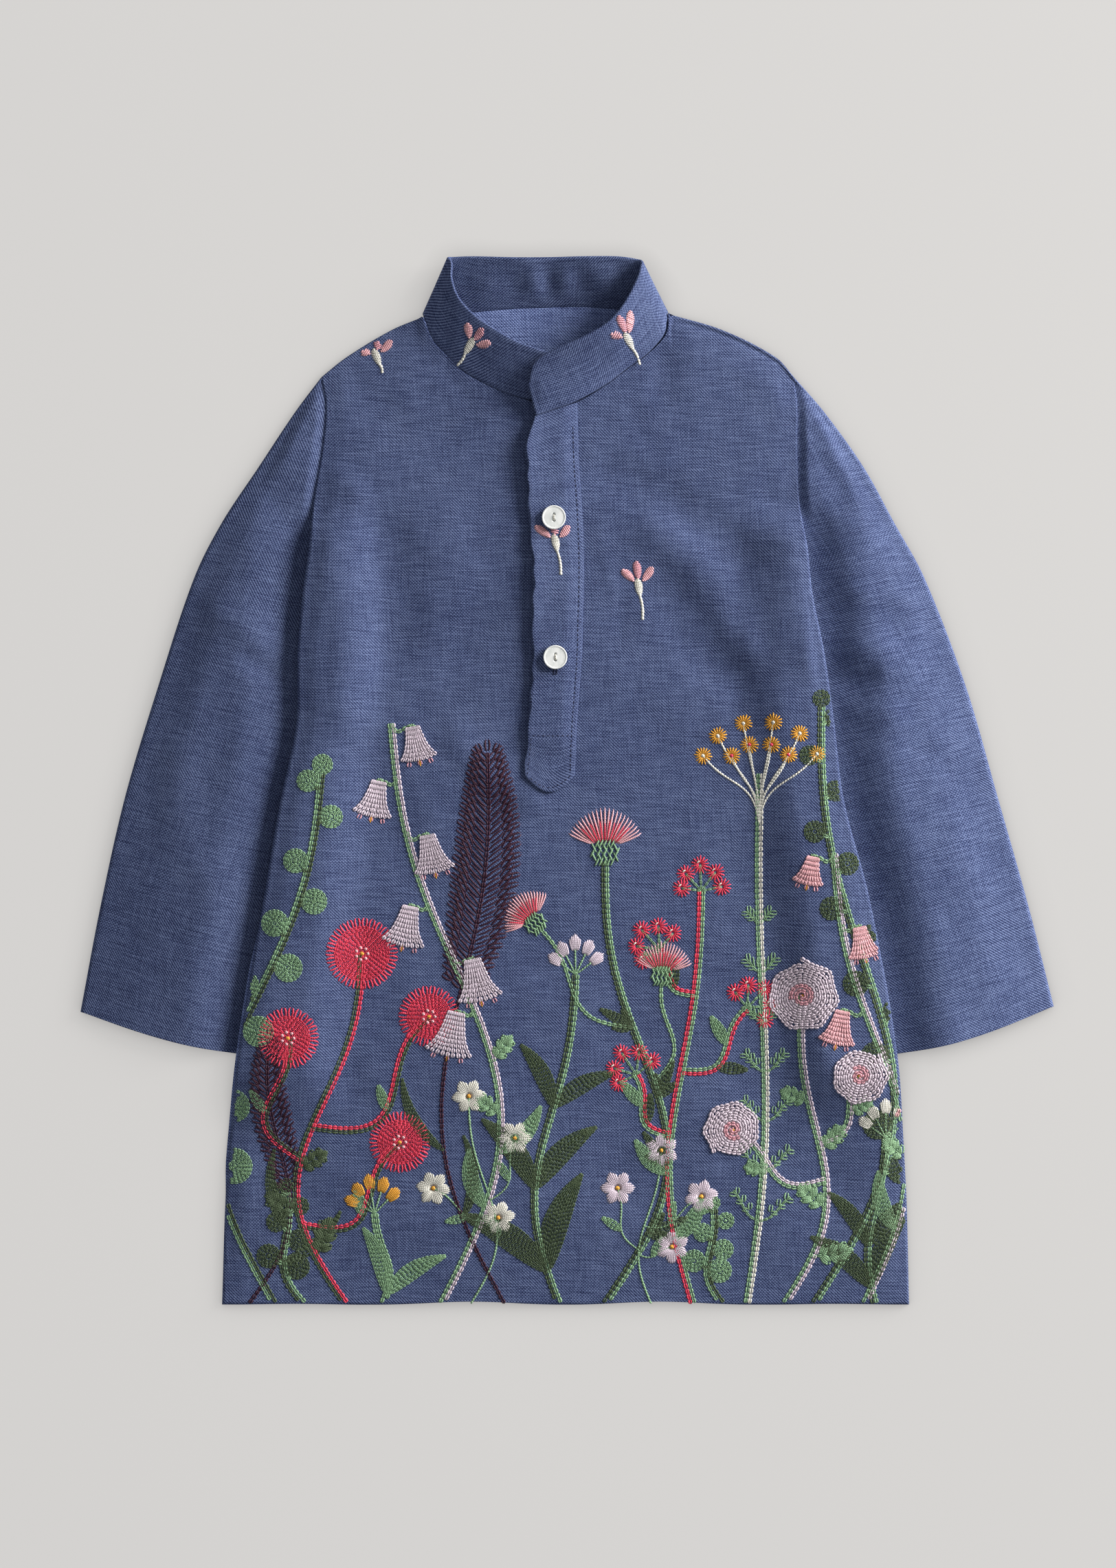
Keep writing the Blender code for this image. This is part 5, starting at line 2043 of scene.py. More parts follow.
def sew_sprig(work: Needlework, sprig: Sprig) -> None:
    """Sews a sprig's petals, calyx and stem.

    Args:
        work: Where the stitches are kept.
        sprig: Its points.
    """
    foot, stem_end = np.array(sprig.calyx), np.array(sprig.stem)
    down = (stem_end - foot) / np.linalg.norm(stem_end - foot)
    for tip in (sprig.left, sprig.right, sprig.middle):
        reach = np.array(tip) - foot
        slim = reach / np.linalg.norm(reach)
        floss = Floss.ROSE if tip == sprig.middle else Floss.PINK
        sew_ribbed(work, floss, foot + slim * 3.4, np.array(tip) + slim * 2.4, 4.9, 0.66)
    share = np.linspace(0.0, 1.0, 9)[:, None]
    bend = sideways(down) * np.sin(math.pi * share) * 0.7
    low = foot + down * 3.6
    work.twisted(Floss.IVORY, low + (stem_end - low) * share + bend, 1.5)
    sew_ribbed(work, Floss.IVORY, foot - down * 3.6, foot + down * 4.8, 4.7, 0.34)


def bowed(start: Sequence[float], end: Sequence[float], bend: float) -> Array:
    """A smooth line between two points, bowed to its left by a share of its length.

    Args:
        start: Its first plan point.
        end: Its last one.
        bend: How far it bows to its left, as a share of its length.

    Returns:
        The line's plan points.
    """
    a, b = np.array(start, float), np.array(end, float)
    share = np.linspace(0.0, 1.0, STEM_STEPS + 1)[:, None]
    sway = np.sin(math.pi * share) * bend + np.sin(math.tau * share) * bend * 0.5
    return a + (b - a) * share + sideways(b - a) * sway


def heading(path: Array, index: int) -> float:
    """The way a line runs at a point, in degrees.

    Args:
        path: The polyline in plan.
        index: The point's number.

    Returns:
        The angle from +X towards +Y.
    """
    low, high = max(index - 1, 0), min(index + 1, len(path) - 1)
    step = path[high] - path[low]
    return math.degrees(math.atan2(step[1], step[0]))


class Shoot(NamedTuple):
    """A side stem: the share of the main stem where it leaves it, and the plan point where it ends."""

    share: float
    x: float
    y: float

    def path(self, spine: Array, bow: float) -> Array:
        """The side stem's line, bowed outwards."""
        start = spine[round(self.share * STEM_STEPS)]
        return bowed(start, self[1:], bow if self.x < start[0] else -bow)


def alternate(
    spine: Array, places: Sequence[int], spread: float
) -> Iterator[tuple[int, float, Array, float]]:
    """Where leaves leave a stem, to its right and its left in turn.

    Args:
        spine: The main stem's line.
        places: The numbers of the stem's points where leaves grow.
        spread: The angle between a leaf and the stem, in degrees.

    Returns:
        Each leaf's number, its side, the point it grows from and the way it points.
    """
    for k, place in enumerate(places):
        hand = 1.0 if k % 2 else -1.0
        yield k, hand, spine[place], heading(spine, place) + hand * spread


@dataclass(frozen=True)
class Plant:
    """A plant of the meadow border, rooted at the hem."""

    root: float
    top: tuple[float, float]
    bend: float

    def spine(self) -> Array:
        """The main stem's line."""
        return bowed((self.root, ROOT_LINE), self.top, self.bend)

    def sew(self, work: Needlework) -> None:
        """Sews the plant."""
        raise NotImplementedError


def sew_spray(work: Needlework, base: Array, turn: float, size: float, floss: Floss = Floss.SAGE) -> None:
    """Sews a small cut leaf: a chain rib with rounded lobes in pairs and one at its tip.

    Args:
        work: Where the stitches are kept.
        base: The plan point where it starts.
        turn: The way it points, in degrees.
        size: How long it is.
        floss: Its colour.
    """
    way = direction(turn)
    work.chain(floss, np.array([base, base + way * size * 0.8]), width=1.5)
    for share, reach in ((0.22, 0.30), (0.46, 0.34), (0.70, 0.28)):
        for hand in (-1.0, 1.0):
            lobe = turn + hand * 52.0
            work.petal(floss, base + way * size * share, lobe, size * reach, size * 0.2, 4)
            tip = base + way * size * share + direction(lobe) * size * reach
            work.loop(floss, base + way * size * share, lobe, float(size * reach) + 0.6, size * 0.2)
            work.bead(floss, tip, 1.2)
    work.petal(floss, base + way * size * 0.72, turn, size * 0.36, size * 0.24, 5)


@dataclass(frozen=True)
class Rosette(Plant):
    """Rolled round blossoms of spiral chain rows over cut leaves."""

    blossoms: tuple[Shoot, ...] = ()
    radius: float = 15.0
    floss: Floss = Floss.LILAC
    heart: Floss = Floss.ROSE

    def sew(self, work: Needlework) -> None:
        """Sews the stems, leaves and blossoms.

        Args:
            work: Where the stitches are kept.
        """
        spine = self.spine()
        work.stem(spine, Floss.SAGE, self.floss)
        self.sew_blossom(work, spine[-1], self.radius)
        for shoot in self.blossoms:
            path = shoot.path(spine, 0.16)
            work.stem(path, Floss.SAGE, self.floss)
            turn = 50.0 if shoot.x < path[0, 0] else -50.0
            sew_spray(work, path[16], heading(path, 16) + turn, 13.0)
            self.sew_blossom(work, np.array(shoot[1:]), self.radius * 0.8)
        for k, _, spot, turn in alternate(spine, (5, 10, 16, 21), 55.0):
            sew_spray(work, spot, turn, 19.0 - 1.5 * k)

    def sew_blossom(self, work: Needlework, centre: Array, radius: float) -> None:
        """Sews one blossom: a spiral row, wavy at its rim.

        Args:
            work: Where the stitches are kept.
            centre: Its middle in plan.
            radius: How far it reaches from its middle.
        """
        tilt = work.chance.uniform(0.0, math.tau)
        turns = np.linspace(0.0, math.tau * radius / 2.3, 40 + round(16 * radius / 2.3))
        share = turns / turns[-1]
        reach = radius * share * (1.0 + 0.09 * share**3 * np.sin(7.0 * turns))
        spiral = centre + np.column_stack([np.cos(turns + tilt), np.sin(turns + tilt)]) * reach[:, None]
        ripe = round(0.34 * len(spiral))
        work.disc(self.floss, centre, radius * 0.93, 40)
        work.chain(self.heart, spiral[: ripe + 1], link=2.1, width=2.0, lift=0.55)
        work.chain(self.floss, spiral[ripe:], link=2.4, width=2.3, lift=0.45)
        work.bead(Floss.YELLOW, centre, 2.4)


@dataclass(frozen=True)
class Pompon(Plant):
    """Full round heads of chain stitch, with a fringe of loops."""

    heads: tuple[Shoot, ...] = ()
    radius: float = 13.0
    floss: Floss = Floss.CORAL
    heart: Floss = Floss.PINK
    stalk: Floss = Floss.CORAL

    def sew(self, work: Needlework) -> None:
        """Sews stems, leaves and heads.

        Args:
            work: Where the stitches are kept.
        """
        spine = self.spine()
        work.stem(spine, Floss.OLIVE, self.stalk)
        for shoot in self.heads:
            path = shoot.path(spine, 0.2)
            work.stem(path, self.stalk, Floss.OLIVE)
            self.sew_head(work, np.array(shoot[1:]), self.radius * 0.84)
            work.lance_leaf(Floss.SAGE, path[13], heading(path, 13) + 46.0, 13.0, 5.2)
        self.sew_head(work, np.array(self.top), self.radius)
        for k, _, spot, turn in alternate(spine, (4, 8, 12), 48.0):
            sew_spray(work, spot, turn, 20.0 - 2.0 * k, Floss.OLIVE)

    def sew_head(self, work: Needlework, centre: Array, radius: float) -> None:
        """Sews one head from its fringe inwards.

        Args:
            work: Where the stitches are kept.
            centre: Its middle in plan.
            radius: How far it reaches from its middle.
        """
        count = round(radius * 1.75)
        for k in range(count):
            turn = 360.0 * k / count + 5.0
            work.loop(self.floss, centre + direction(turn) * (radius - 3.4), turn, 5.6, 3.0)
        work.round_leaf(self.floss, centre, radius - 2.2)
        for k in range(7):
            work.bead(self.heart, centre + direction(360.0 * k / 7) * 2.9, 2.0)
        work.bead(Floss.YELLOW, centre, 2.6)


@dataclass(frozen=True)
class CoinLeaf(Plant):
    """A branch of round leaves on short stalks."""

    leaves: int = 12
    radius: float = 4.6
    floss: Floss = Floss.SAGE
    rib: Floss = Floss.OLIVE

    def sew(self, work: Needlework) -> None:
        """Sews the branch and its leaves.

        Args:
            work: Where the stitches are kept.
        """
        spine = self.spine()
        work.stem(spine, self.floss, self.rib)
        for k in range(self.leaves):
            share = 0.22 + 0.74 * k / (self.leaves - 1)
            index = round(share * STEM_STEPS)
            hand = 1.0 if k % 2 else -1.0
            size = self.radius * (1.12 - 0.5 * share)
            way = direction(heading(spine, index) + hand * 58.0)
            work.chain(self.rib, np.array([spine[index], spine[index] + way * 3.0]), lift=0.05)
            work.round_leaf(self.floss, spine[index] + way * (size + 1.8), size)
        way = direction(heading(spine, STEM_STEPS))
        work.round_leaf(self.floss, spine[-1] + way * self.radius * 0.5, self.radius * 0.6)


@dataclass(frozen=True)
class Bellflower(Plant):
    """An arched stem with bells that hang from its sides in turn."""

    bells: int = 5
    side: float = -1.0
    size: float = 12.5
    floss: Floss = Floss.LILAC

    def sew(self, work: Needlework) -> None:
        """Sews the stem, the bells and two long leaves.

        Args:
            work: Where the stitches are kept.
        """
        spine = self.spine()
        work.stem(spine, Floss.SAGE, Floss.LILAC)
        for k in range(self.bells):
            share = 0.50 + 0.5 * k / (self.bells - 1)
            start = spine[round(share * STEM_STEPS)]
            size = self.size * (1.12 - 0.42 * share)
            hand = self.side if k % 2 == 0 else -self.side
            neck = start + np.array([hand * (8.5 + 1.5 * (k % 2)), -1.5])
            work.chain(Floss.SAGE, bowed(start, neck, -0.3 * hand))
            self.sew_bell(work, neck, -90.0 + hand * 12.0, size)
        for index, hand in ((5, 1.0), (8, -1.0)):
            turn = heading(spine, index) + hand * 34.0
            work.lance_leaf(Floss.SAGE, spine[index], turn, 30.0, 8.4, 0.1 * hand)
            sew_spray(work, spine[index + 5], heading(spine, index + 5) + hand * 50.0, 15.0)

    def sew_bell(self, work: Needlework, neck: Array, turn: float, size: float) -> None:
        """Sews a bell: chain rows that spread to a scalloped mouth.

        Args:
            work: Where the stitches are kept.
            neck: The plan point that it hangs from.
            turn: The way it points, in degrees.
            size: How long it is.
        """
        way, side = axes(turn)
        share = np.linspace(0.0, 1.0, 8)
        for place in np.linspace(-1.0, 1.0, 9):
            flare = (0.30 + 0.34 * share + 0.36 * share**4) * 0.5 * size
            path = neck + way * (share * size * (1.0 - 0.08 * place**2))[:, None]
            work.chain(self.floss, path + side * (flare * place)[:, None], link=2.2, width=2.0, lift=0.3)
        for place in (-0.66, 0.0, 0.66):
            mouth = neck + way * size * 0.97 + side * place * 0.44 * size
            work.loop(Floss.ROSE, mouth, turn + place * 24.0, 2.8, 2.2)
        work.disc(Floss.SAGE, neck + way * 0.3, 1.9, 8)
        work.straight(Floss.YELLOW, neck + way * size * 0.9, neck + way * (size + 3.2), 0.7, 0.5)


@dataclass(frozen=True)
class Plume(Plant):
    """A grass ear of looped seeds in slanting pairs."""

    length: float = 0.45
    reach: float = 12.0
    floss: Floss = Floss.AUBERGINE

    def sew(self, work: Needlework) -> None:
        """Sews the stalk and the seeds, pair by pair.

        Args:
            work: Where the stitches are kept.
        """
        spine = self.spine()
        work.stem(spine, self.floss)
        smooth_path = PlanPath(spine)
        pairs = round(smooth_path.length * self.length / 4.4)
        for k in range(pairs):
            start = smooth_path.at(1.0 - self.length * (1.0 - k / pairs))
            index = min(STEM_STEPS - 1, round((1.0 - self.length * (1.0 - k / pairs)) * STEM_STEPS))
            size = self.reach * math.sin(math.pi * (0.16 + 0.74 * k / pairs)) ** 0.7
            for hand in (-1.0, 1.0):
                turn = heading(spine, index) + hand * (58.0 - 20.0 * k / pairs)
                for step, spread in ((0.0, 0.0), (0.42, 16.0), (0.42, -16.0)):
                    spot = start + direction(turn) * size * step
                    work.loop(self.floss, spot, turn + spread, size * 0.52, 3.0)
        work.loop(self.floss, spine[-1], heading(spine, STEM_STEPS), 7.0, 3.0)
        for _, hand, spot, turn in alternate(spine, (5, 9), 22.0):
            work.lance_leaf(Floss.OLIVE, spot, turn, 40.0, 5.6, 0.12 * hand)


@dataclass(frozen=True)
class Thistle(Plant):
    """A brush of straight stitches over a netted cup."""

    side_heads: tuple[Shoot, ...] = ()
    size: float = 13.0

    def sew(self, work: Needlework) -> None:
        """Sews the stem, jagged leaves and heads.

        Args:
            work: Where the stitches are kept.
        """
        spine = self.spine()
        work.stem(spine, Floss.OLIVE, Floss.SAGE)
        for shoot in self.side_heads:
            path = shoot.path(spine, 0.14)
            work.stem(path, Floss.SAGE)
            self.sew_head(work, path[-1], heading(path, STEM_STEPS), self.size * 0.78)
        self.sew_head(work, spine[-1], heading(spine, STEM_STEPS), self.size)
        for k, _, spot, turn in alternate(spine, (5, 10, 15, 20), 40.0):
            for spread, reach in ((-30.0, 13.0), (0.0, 21.0), (30.0, 13.0)):
                work.lance_leaf(Floss.OLIVE, spot, turn + spread, reach - k, 5.2)

    def sew_head(self, work: Needlework, base: Array, turn: float, size: float) -> None:
        """Sews one head.

        Args:
            work: Where the stitches are kept.
            base: The plan point where it starts.
            turn: The way it points, in degrees.
            size: How long it is.
        """
        way, side = axes(turn)
        fan = np.linspace(-1.0, 1.0, 23)
        ends = np.array([base + direction(turn + 52.0 * f) * size * (1.15 - 0.18 * abs(f)) for f in fan])
        feet = base + way * size * 0.34 + side * (fan * size * 0.2)[:, None]
        work.straight(Floss.PINK, feet, ends, 0.95, 0.6, fan * 0.8)
        inner = np.array([base + direction(turn + 40.0 * f) * size * 0.86 for f in fan[1::2]])
        work.straight(Floss.CORAL, feet[1::2], inner, 0.7, 0.75, 0.0, 0.15)
        for row in range(5):
            span = size * 0.24 * math.sin(math.pi * (0.22 + 0.14 * row))
            place = np.linspace(-1.0, 1.0, 5)
            spots = base + way * (size * 0.09 * row) + side * (place * span)[:, None]
            slant = (way + side * (0.5 if row % 2 else -0.5)) * size * 0.11
            work.straight(Floss.SAGE, spots - slant, spots + slant, 0.95, 0.7, 0.0, 0.15)


@dataclass(frozen=True)
class ButtonHeads(Plant):
    """A domed cluster of round heads on short forked stalks, over feathery leaves."""

    spread: float = 27.0
    fork: int = 29
    head_floss: Floss = Floss.YELLOW
    stalk_floss: Floss = Floss.IVORY

    def sew(self, work: Needlework) -> None:
        """Sews the stalks, heads and leaves.

        Args:
            work: Where the stitches are kept.
        """
        spine = self.spine()
        work.stem(spine, Floss.SAGE, self.stalk_floss)
        middle = spine[-1]
        spots = [(turn, self.spread) for turn in (22.0, 50.0, 78.0, 106.0, 134.0, 160.0)]
        spots += [(turn, 0.58 * self.spread) for turn in (38.0, 72.0, 108.0, 144.0)]
        for turn, reach in spots:
            end = middle + direction(turn) * reach * np.array([1.0, 0.86])
            side = (turn - 90.0) / 90.0
            work.twisted(self.stalk_floss, bowed(spine[self.fork], end, -0.12 * side), 1.1)
            work.disc(self.head_floss, end, 4.7, 16)
            work.bead(Floss.CORAL if reach < self.spread else Floss.IVORY, end, 2.2)
        for k in range(7):
            index = 5 + 3 * k
            for hand in (-1.0, 1.0):
                turn = heading(spine, index) + hand * 46.0
                start = spine[index]
                size = 19.0 - 1.9 * k
                tip = start + direction(turn) * size
                work.chain(Floss.SAGE, bowed(start, tip, 0.08 * hand), width=1.3)
                for step in (0.35, 0.6, 0.85):
                    spot = start + direction(turn) * size * step
                    work.loop(Floss.SAGE, spot, turn + 42.0, 4.2, 2.3)
                    work.loop(Floss.SAGE, spot, turn - 42.0, 4.2, 2.3)


@dataclass(frozen=True)
class Berries(Plant):
    """A forked twig with round berries and pointed leaves."""

    twigs: tuple[Shoot, ...] = ()
    floss: Floss = Floss.CORAL
    berry: float = 4.1

    def sew(self, work: Needlework) -> None:
        """Sews the twigs, leaves and berries.

        Args:
            work: Where the stitches are kept.
        """
        spine = self.spine()
        work.stem(spine, Floss.CORAL, Floss.SAGE)
        ends = [(spine[-1], heading(spine, STEM_STEPS))]
        for shoot in self.twigs:
            path = shoot.path(spine, 0.18)
            work.stem(path, Floss.SAGE, Floss.CORAL)
            work.lance_leaf(Floss.SAGE, path[18], heading(path, 18) + 44.0, 16.0, 6.2)
            work.lance_leaf(Floss.OLIVE, path[10], heading(path, 10) - 44.0, 15.0, 6.0)
            ends.append((path[-1], heading(path, STEM_STEPS)))
        for _, hand, spot, turn in alternate(spine, (5, 10), 44.0):
            work.lance_leaf(Floss.SAGE, spot, turn, 23.0, 8.0, 0.08 * hand)
        for end, turn in ends:
            for spread, reach in ((-78.0, 10.0), (-36.0, 11.0), (4.0, 12.5), (44.0, 11.0), (84.0, 9.5)):
                spot = end + direction(turn + spread) * reach
                work.chain(Floss.SAGE, np.array([end, spot]), width=1.2)
                work.disc(self.floss, spot, self.berry, 14)
                work.straight(Floss.IVORY, spot + (-1.5, 0.5), spot + (0.1, 1.9), 0.8, 0.4, 0.3, 0.5)


@dataclass(frozen=True)
class Stars(Plant):
    """Thin forked stalks with small six-petalled stars."""

    stars: tuple[Shoot, ...] = ()
    floss: Floss = Floss.IVORY
    size: float = 8.2

    def sew(self, work: Needlework) -> None:
        """Sews the stalks, stars and a few tiny leaves.

        Args:
            work: Where the stitches are kept.
        """
        spine = self.spine()
        work.twisted(Floss.SAGE, spine, 1.1)
        spots = [spine[-1]]
        for shoot in self.stars:
            path = shoot.path(spine, 0.12)
            work.twisted(Floss.SAGE, path, 0.9)
            work.lance_leaf(Floss.SAGE, path[12], heading(path, 12) + 45.0, 11.0, 4.4)
            spots.append(path[-1])
        for spot in spots:
            tilt = work.chance.uniform(0.0, 60.0)
            for turn in tilt + 60.0 * np.arange(6):
                work.petal(self.floss, spot + direction(turn) * 0.7, turn, self.size, 5.2, 6)
            work.bead(Floss.YELLOW, spot, 2.6)


@dataclass(frozen=True)
class LanceLeaves(Plant):
    """A stout stalk with paired pointed leaves and buds at its top."""

    pairs: int = 4
    leaf: float = 27.0
    floss: Floss = Floss.OLIVE
    bud: Floss = Floss.LILAC

    def sew(self, work: Needlework) -> None:
        """Sews the stalk, its leaves and the buds.

        Args:
            work: Where the stitches are kept.
        """
        spine = self.spine()
        work.stem(spine, self.floss, Floss.SAGE)
        for k in range(self.pairs):
            index = 3 + k * 8
            size = self.leaf * (1.0 - 0.16 * k)
            for hand in (-1.0, 1.0):
                turn = heading(spine, index) + hand * (38.0 + 3.0 * k)
                work.lance_leaf(self.floss, spine[index], turn, size, 0.25 * size, -0.08 * hand)
        for spread in (-50.0, -22.0, 4.0, 30.0, 56.0):
            turn = heading(spine, STEM_STEPS) + spread
            reach = 12.0 - abs(spread) / 18.0
            work.twisted(Floss.SAGE, np.array([spine[-1], spine[-1] + direction(turn) * reach]), 0.9)
            work.petal(self.bud, spine[-1] + direction(turn) * (reach - 1.0), turn, 9.0, 5.6, 7)


@dataclass
class Meadow:
    """The flower border over the lower front, a plain assortment of garden and field plants."""

    plants: tuple[Plant, ...] = (
        Plume(-152.0, (-142.0, -122.0), -0.10, length=0.55, reach=13.0),
        CoinLeaf(-140.0, (-117.0, 4.0), 0.11, 12, 8.6),
        Bellflower(-60.0, (-84.0, 28.0), -0.10, 6, -1.0, 24.0),
        Pompon(
            -106.0,
            (-98.0, -82.0),
            0.12,
            rows_of(Shoot, (0.42, -133.0, -122.0), (0.50, -66.0, -112.0), (0.22, -80.0, -172.0)),
            15.5,
        ),
        CoinLeaf(-126.0, (-134.0, -196.0), 0.10, 6, 6.4, Floss.OLIVE, Floss.SAGE),
        Plume(-30.0, (-38.0, 14.0), 0.08, length=0.42, reach=22.0),
        Stars(
            -46.0,
            (-47.0, -150.0),
            -0.10,
            rows_of(Shoot, (0.4, -64.0, -194.0), (0.5, -25.0, -170.0), (0.3, -33.0, -208.0)),
        ),
        LanceLeaves(-4.0, (4.0, -92.0), 0.07, 3, 50.0),
        LanceLeaves(-88.0, (-92.0, -206.0), -0.08, 1, 34.0, Floss.SAGE, Floss.YELLOW),
        Thistle(
            18.0,
            (18.0, -38.0),
            -0.11,
            rows_of(Shoot, (0.50, 45.0, -96.0), (0.62, -13.0, -70.0)),
            24.0,
        ),
        Berries(
            60.0,
            (64.0, -52.0),
            0.05,
            rows_of(Shoot, (0.42, 33.0, -140.0), (0.56, 86.0, -108.0), (0.74, 44.0, -80.0)),
            berry=4.9,
        ),
        Stars(
            40.0,
            (45.0, -176.0),
            0.08,
            rows_of(Shoot, (0.35, 24.0, -194.0), (0.5, 64.0, -198.0), (0.3, 50.0, -222.0)),
            Floss.LILAC,
        ),
        ButtonHeads(86.0, (92.0, 4.0), -0.02, 29.0),
        CoinLeaf(118.0, (121.0, 36.0), -0.10, 13, 7.4, Floss.OLIVE, Floss.SAGE),
        Rosette(
            104.0,
            (112.0, -102.0),
            -0.09,
            rows_of(Shoot, (0.42, 79.0, -166.0), (0.52, 139.0, -140.0)),
            16.5,
        ),
        Bellflower(142.0, (127.0, -34.0), -0.09, 4, 1.0, 20.0, Floss.PINK),
        CoinLeaf(74.0, (70.0, -204.0), 0.10, 6, 6.0),
        LanceLeaves(147.0, (152.0, -170.0), 0.05, 2, 38.0, Floss.OLIVE, Floss.IVORY),
    )

    def sew(self, work: Needlework) -> None:
        """Sews every plant."""
        for plant in self.plants:
            plant.sew(work)


def kept_on_cloth(work: Needlework, margin: float = 0.9) -> None:
    """Leaves out the stitches that would run off the front's sides or hem.

    Args:
        work: Where the stitches are kept.
        margin: The least distance to a side edge.
    """
    for floss, rows in work.kept.items():
        stitches = np.concatenate(rows)
        ends = (stitches[:, :2], stitches[:, 2:4])
        inside = np.min([LAID.inside(p[:, 0], p[:, 1]) for p in ends], axis=0)
        over_hem = np.min([p[:, 1] for p in ends], axis=0) - LAID.hem
        work.kept[floss] = [stitches[(inside > margin) & (over_hem > 0.3)]]


@dataclass(frozen=True)
class Button:
    """A thin shell button with two holes, sewn on with a few turns of thread."""

    number: int
    dish: float = 0.2
    rim: float = 0.5
    hole_apart: float = 2.8
    hole_radius: float = 0.66
    hole_depth: float = 1.0
    hole_edge: float = 0.14
    edge_roll: float = 0.22
    rings: int = 34
    spokes: int = 72

    @property
    def node(self) -> str:
        """The CAD node it stands for."""
        return f"button_{self.number}"

    def corners(self) -> tuple[Array, Array]:
        """The node's lowest and highest corners in millimetres."""
        low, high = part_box(self.node)
        return np.array(low) / METRES, np.array(high) / METRES

    def centre(self) -> Array:
        """The button's middle in plan."""
        low, high = self.corners()
        return 0.5 * (low + high)[:2]

    def surface(self) -> Surface:
        """The disc's whole outer face.

        Returns:
            The closed surface.
        """
        low, high = self.corners()
        middle, radius = self.centre(), 0.5 * (high[0] - low[0])
        reach = radius * np.linspace(0.0, 1.0, self.rings)
        turns = np.linspace(math.tau, 0.0, self.spokes, endpoint=False)
        r, turn = np.meshgrid(reach, turns, indexing="ij")
        x, y = r * np.cos(turn), r * np.sin(turn)
        top = high[2] - self.dish * (1.0 - eased(radius - 2.0 * self.rim, radius - self.rim, r))
        top = top - rolled(radius - r, self.edge_roll)
        for hand in (-0.5, 0.5):
            apart = np.hypot(x, y - hand * self.hole_apart)
            outside = eased(self.hole_radius - self.hole_edge, self.hole_radius + self.hole_edge, apart)
            top = top - self.hole_depth * (1.0 - outside)
        upper = np.stack([middle[0] + x, middle[1] + y, top], -1)
        lower = upper.copy()
        lower[..., 2] = low[2]
        points = np.concatenate([upper, lower[::-1]])
        return Surface.of_rows(points, points * 1.0, ring=True)

    def sew_on(self) -> None:
        """Sews the thread between the two holes."""
        level = self.corners()[1][2] - self.dish - 0.12
        work = Needlework(f"button_thread_{self.number}", lambda x, y: np.full(len(x), level), self.number)
        for aside in (-0.3, 0.05, 0.36):
            foot = self.centre() + (aside, -0.5 * self.hole_apart - 0.25)
            head = self.centre() + (0.6 * aside, 0.5 * self.hole_apart + 0.25)
            work.straight(Floss.IVORY, foot, head, 0.46, 0.42, 0.0, 0.05)
        work.make()


@dataclass
class PlainSewing:
    """The placket's edge stitches and bar, and the whipped buttonholes."""

    pitch: float = 2.3
    thread: float = 0.5
    inset: float = 1.7
    stitch_share: float = 0.72
    bar: tuple[float, float, float] = (-17.0, 2.2, 22.0)
    whip_pitch: float = 0.42
    whip_reach: float = 1.25

    def line(self, work: Needlework, path: Array) -> None:
        """A row of machine stitches along a polyline.

        Args:
            work: Where the stitches are kept.
            path: The polyline in plan.
        """
        marks = np.arange(0.3, run_along(path)[-1] - self.pitch, self.pitch)
        ends = spots_along(path, marks + self.stitch_share * self.pitch)
        work.straight(Floss.NAVY, spots_along(path, marks), ends, self.thread, 0.18)

    def placket(self, work: Needlework) -> None:
        """The row down the sewn edge, round the toe and across at the bar.

        Args:
            work: Where the stitches are kept.
        """
        rows = PLACKET_SECTIONS
        at = np.linspace(1.0, len(rows) - 1.0, 60)
        keys = np.arange(len(rows))
        sewn_x = Smooth(keys, [row.sewn_x for row in rows])(at)
        sewn_y = Smooth(keys, [row.sewn_y for row in rows])(at)
        self.line(work, np.column_stack([sewn_x - self.inset, sewn_y]))
        toe = rows[-1]
        share = np.linspace(0.94, 0.06, 20)
        bulge = Placket().toe * np.sin(math.pi * share) - self.inset
        toe_x = mix(toe.free_x, toe.sewn_x, share)
        self.line(work, np.column_stack([toe_x, toe.free_y - bulge]))
        left, right, level = self.bar
        self.line(work, np.array([[toe_x[-1], toe.free_y], [left + 0.1, level]]))
        self.line(work, np.array([[left, level], [right, level]]))

    def buttonhole(self, work: Needlework, centre: Array, low: float, high: float) -> None:
        """A whipped upright slit from low to high of a button's middle.

        Args:
            work: Where the stitches are kept.
            centre: The button's middle in plan.
            low: The slit's lower end, from that middle.
            high: Its upper end, from that middle.
        """
        steps = np.arange(low, high, self.whip_pitch)
        for hand in (-1.0, 1.0):
            inner = centre + np.column_stack([np.full_like(steps, 0.1 * hand), steps])
            outer = centre + np.column_stack([np.full_like(steps, self.whip_reach * hand), steps])
            work.straight(Floss.NAVY, inner, outer, self.whip_pitch, 0.4)
        for edge in (low, high):
            bar = centre + np.array([[-1.3, edge], [1.3, edge]])
            work.straight(Floss.NAVY, bar[0], bar[1], 0.6, 0.55, 0.0, 0.1)


class SurfaceGround:
    """Heights of a surface's upper side, blended from its nearest points."""

    NEAREST = 6
    LEAST_UP = 0.25

    def __init__(self, surface: Surface) -> None:
        """Keeps the surface's points that face up."""
        facing_up = surface.normals()[:, 2] > self.LEAST_UP
        self.points = surface.points[facing_up]

    def __call__(self, x: Array, y: Array) -> Array:
        """The heights at plan points.

        Args:
            x: The points' X.
            y: The points' Y.

        Returns:
            The height at each point.
        """
        apart = np.hypot(x[:, None] - self.points[:, 0], y[:, None] - self.points[:, 1])
        near = np.argsort(apart, axis=1)[:, : self.NEAREST]
        weight = 1.0 / (np.take_along_axis(apart, near, 1) + 0.05) ** 2
        return (weight * self.points[near, 2]).sum(1) / weight.sum(1)


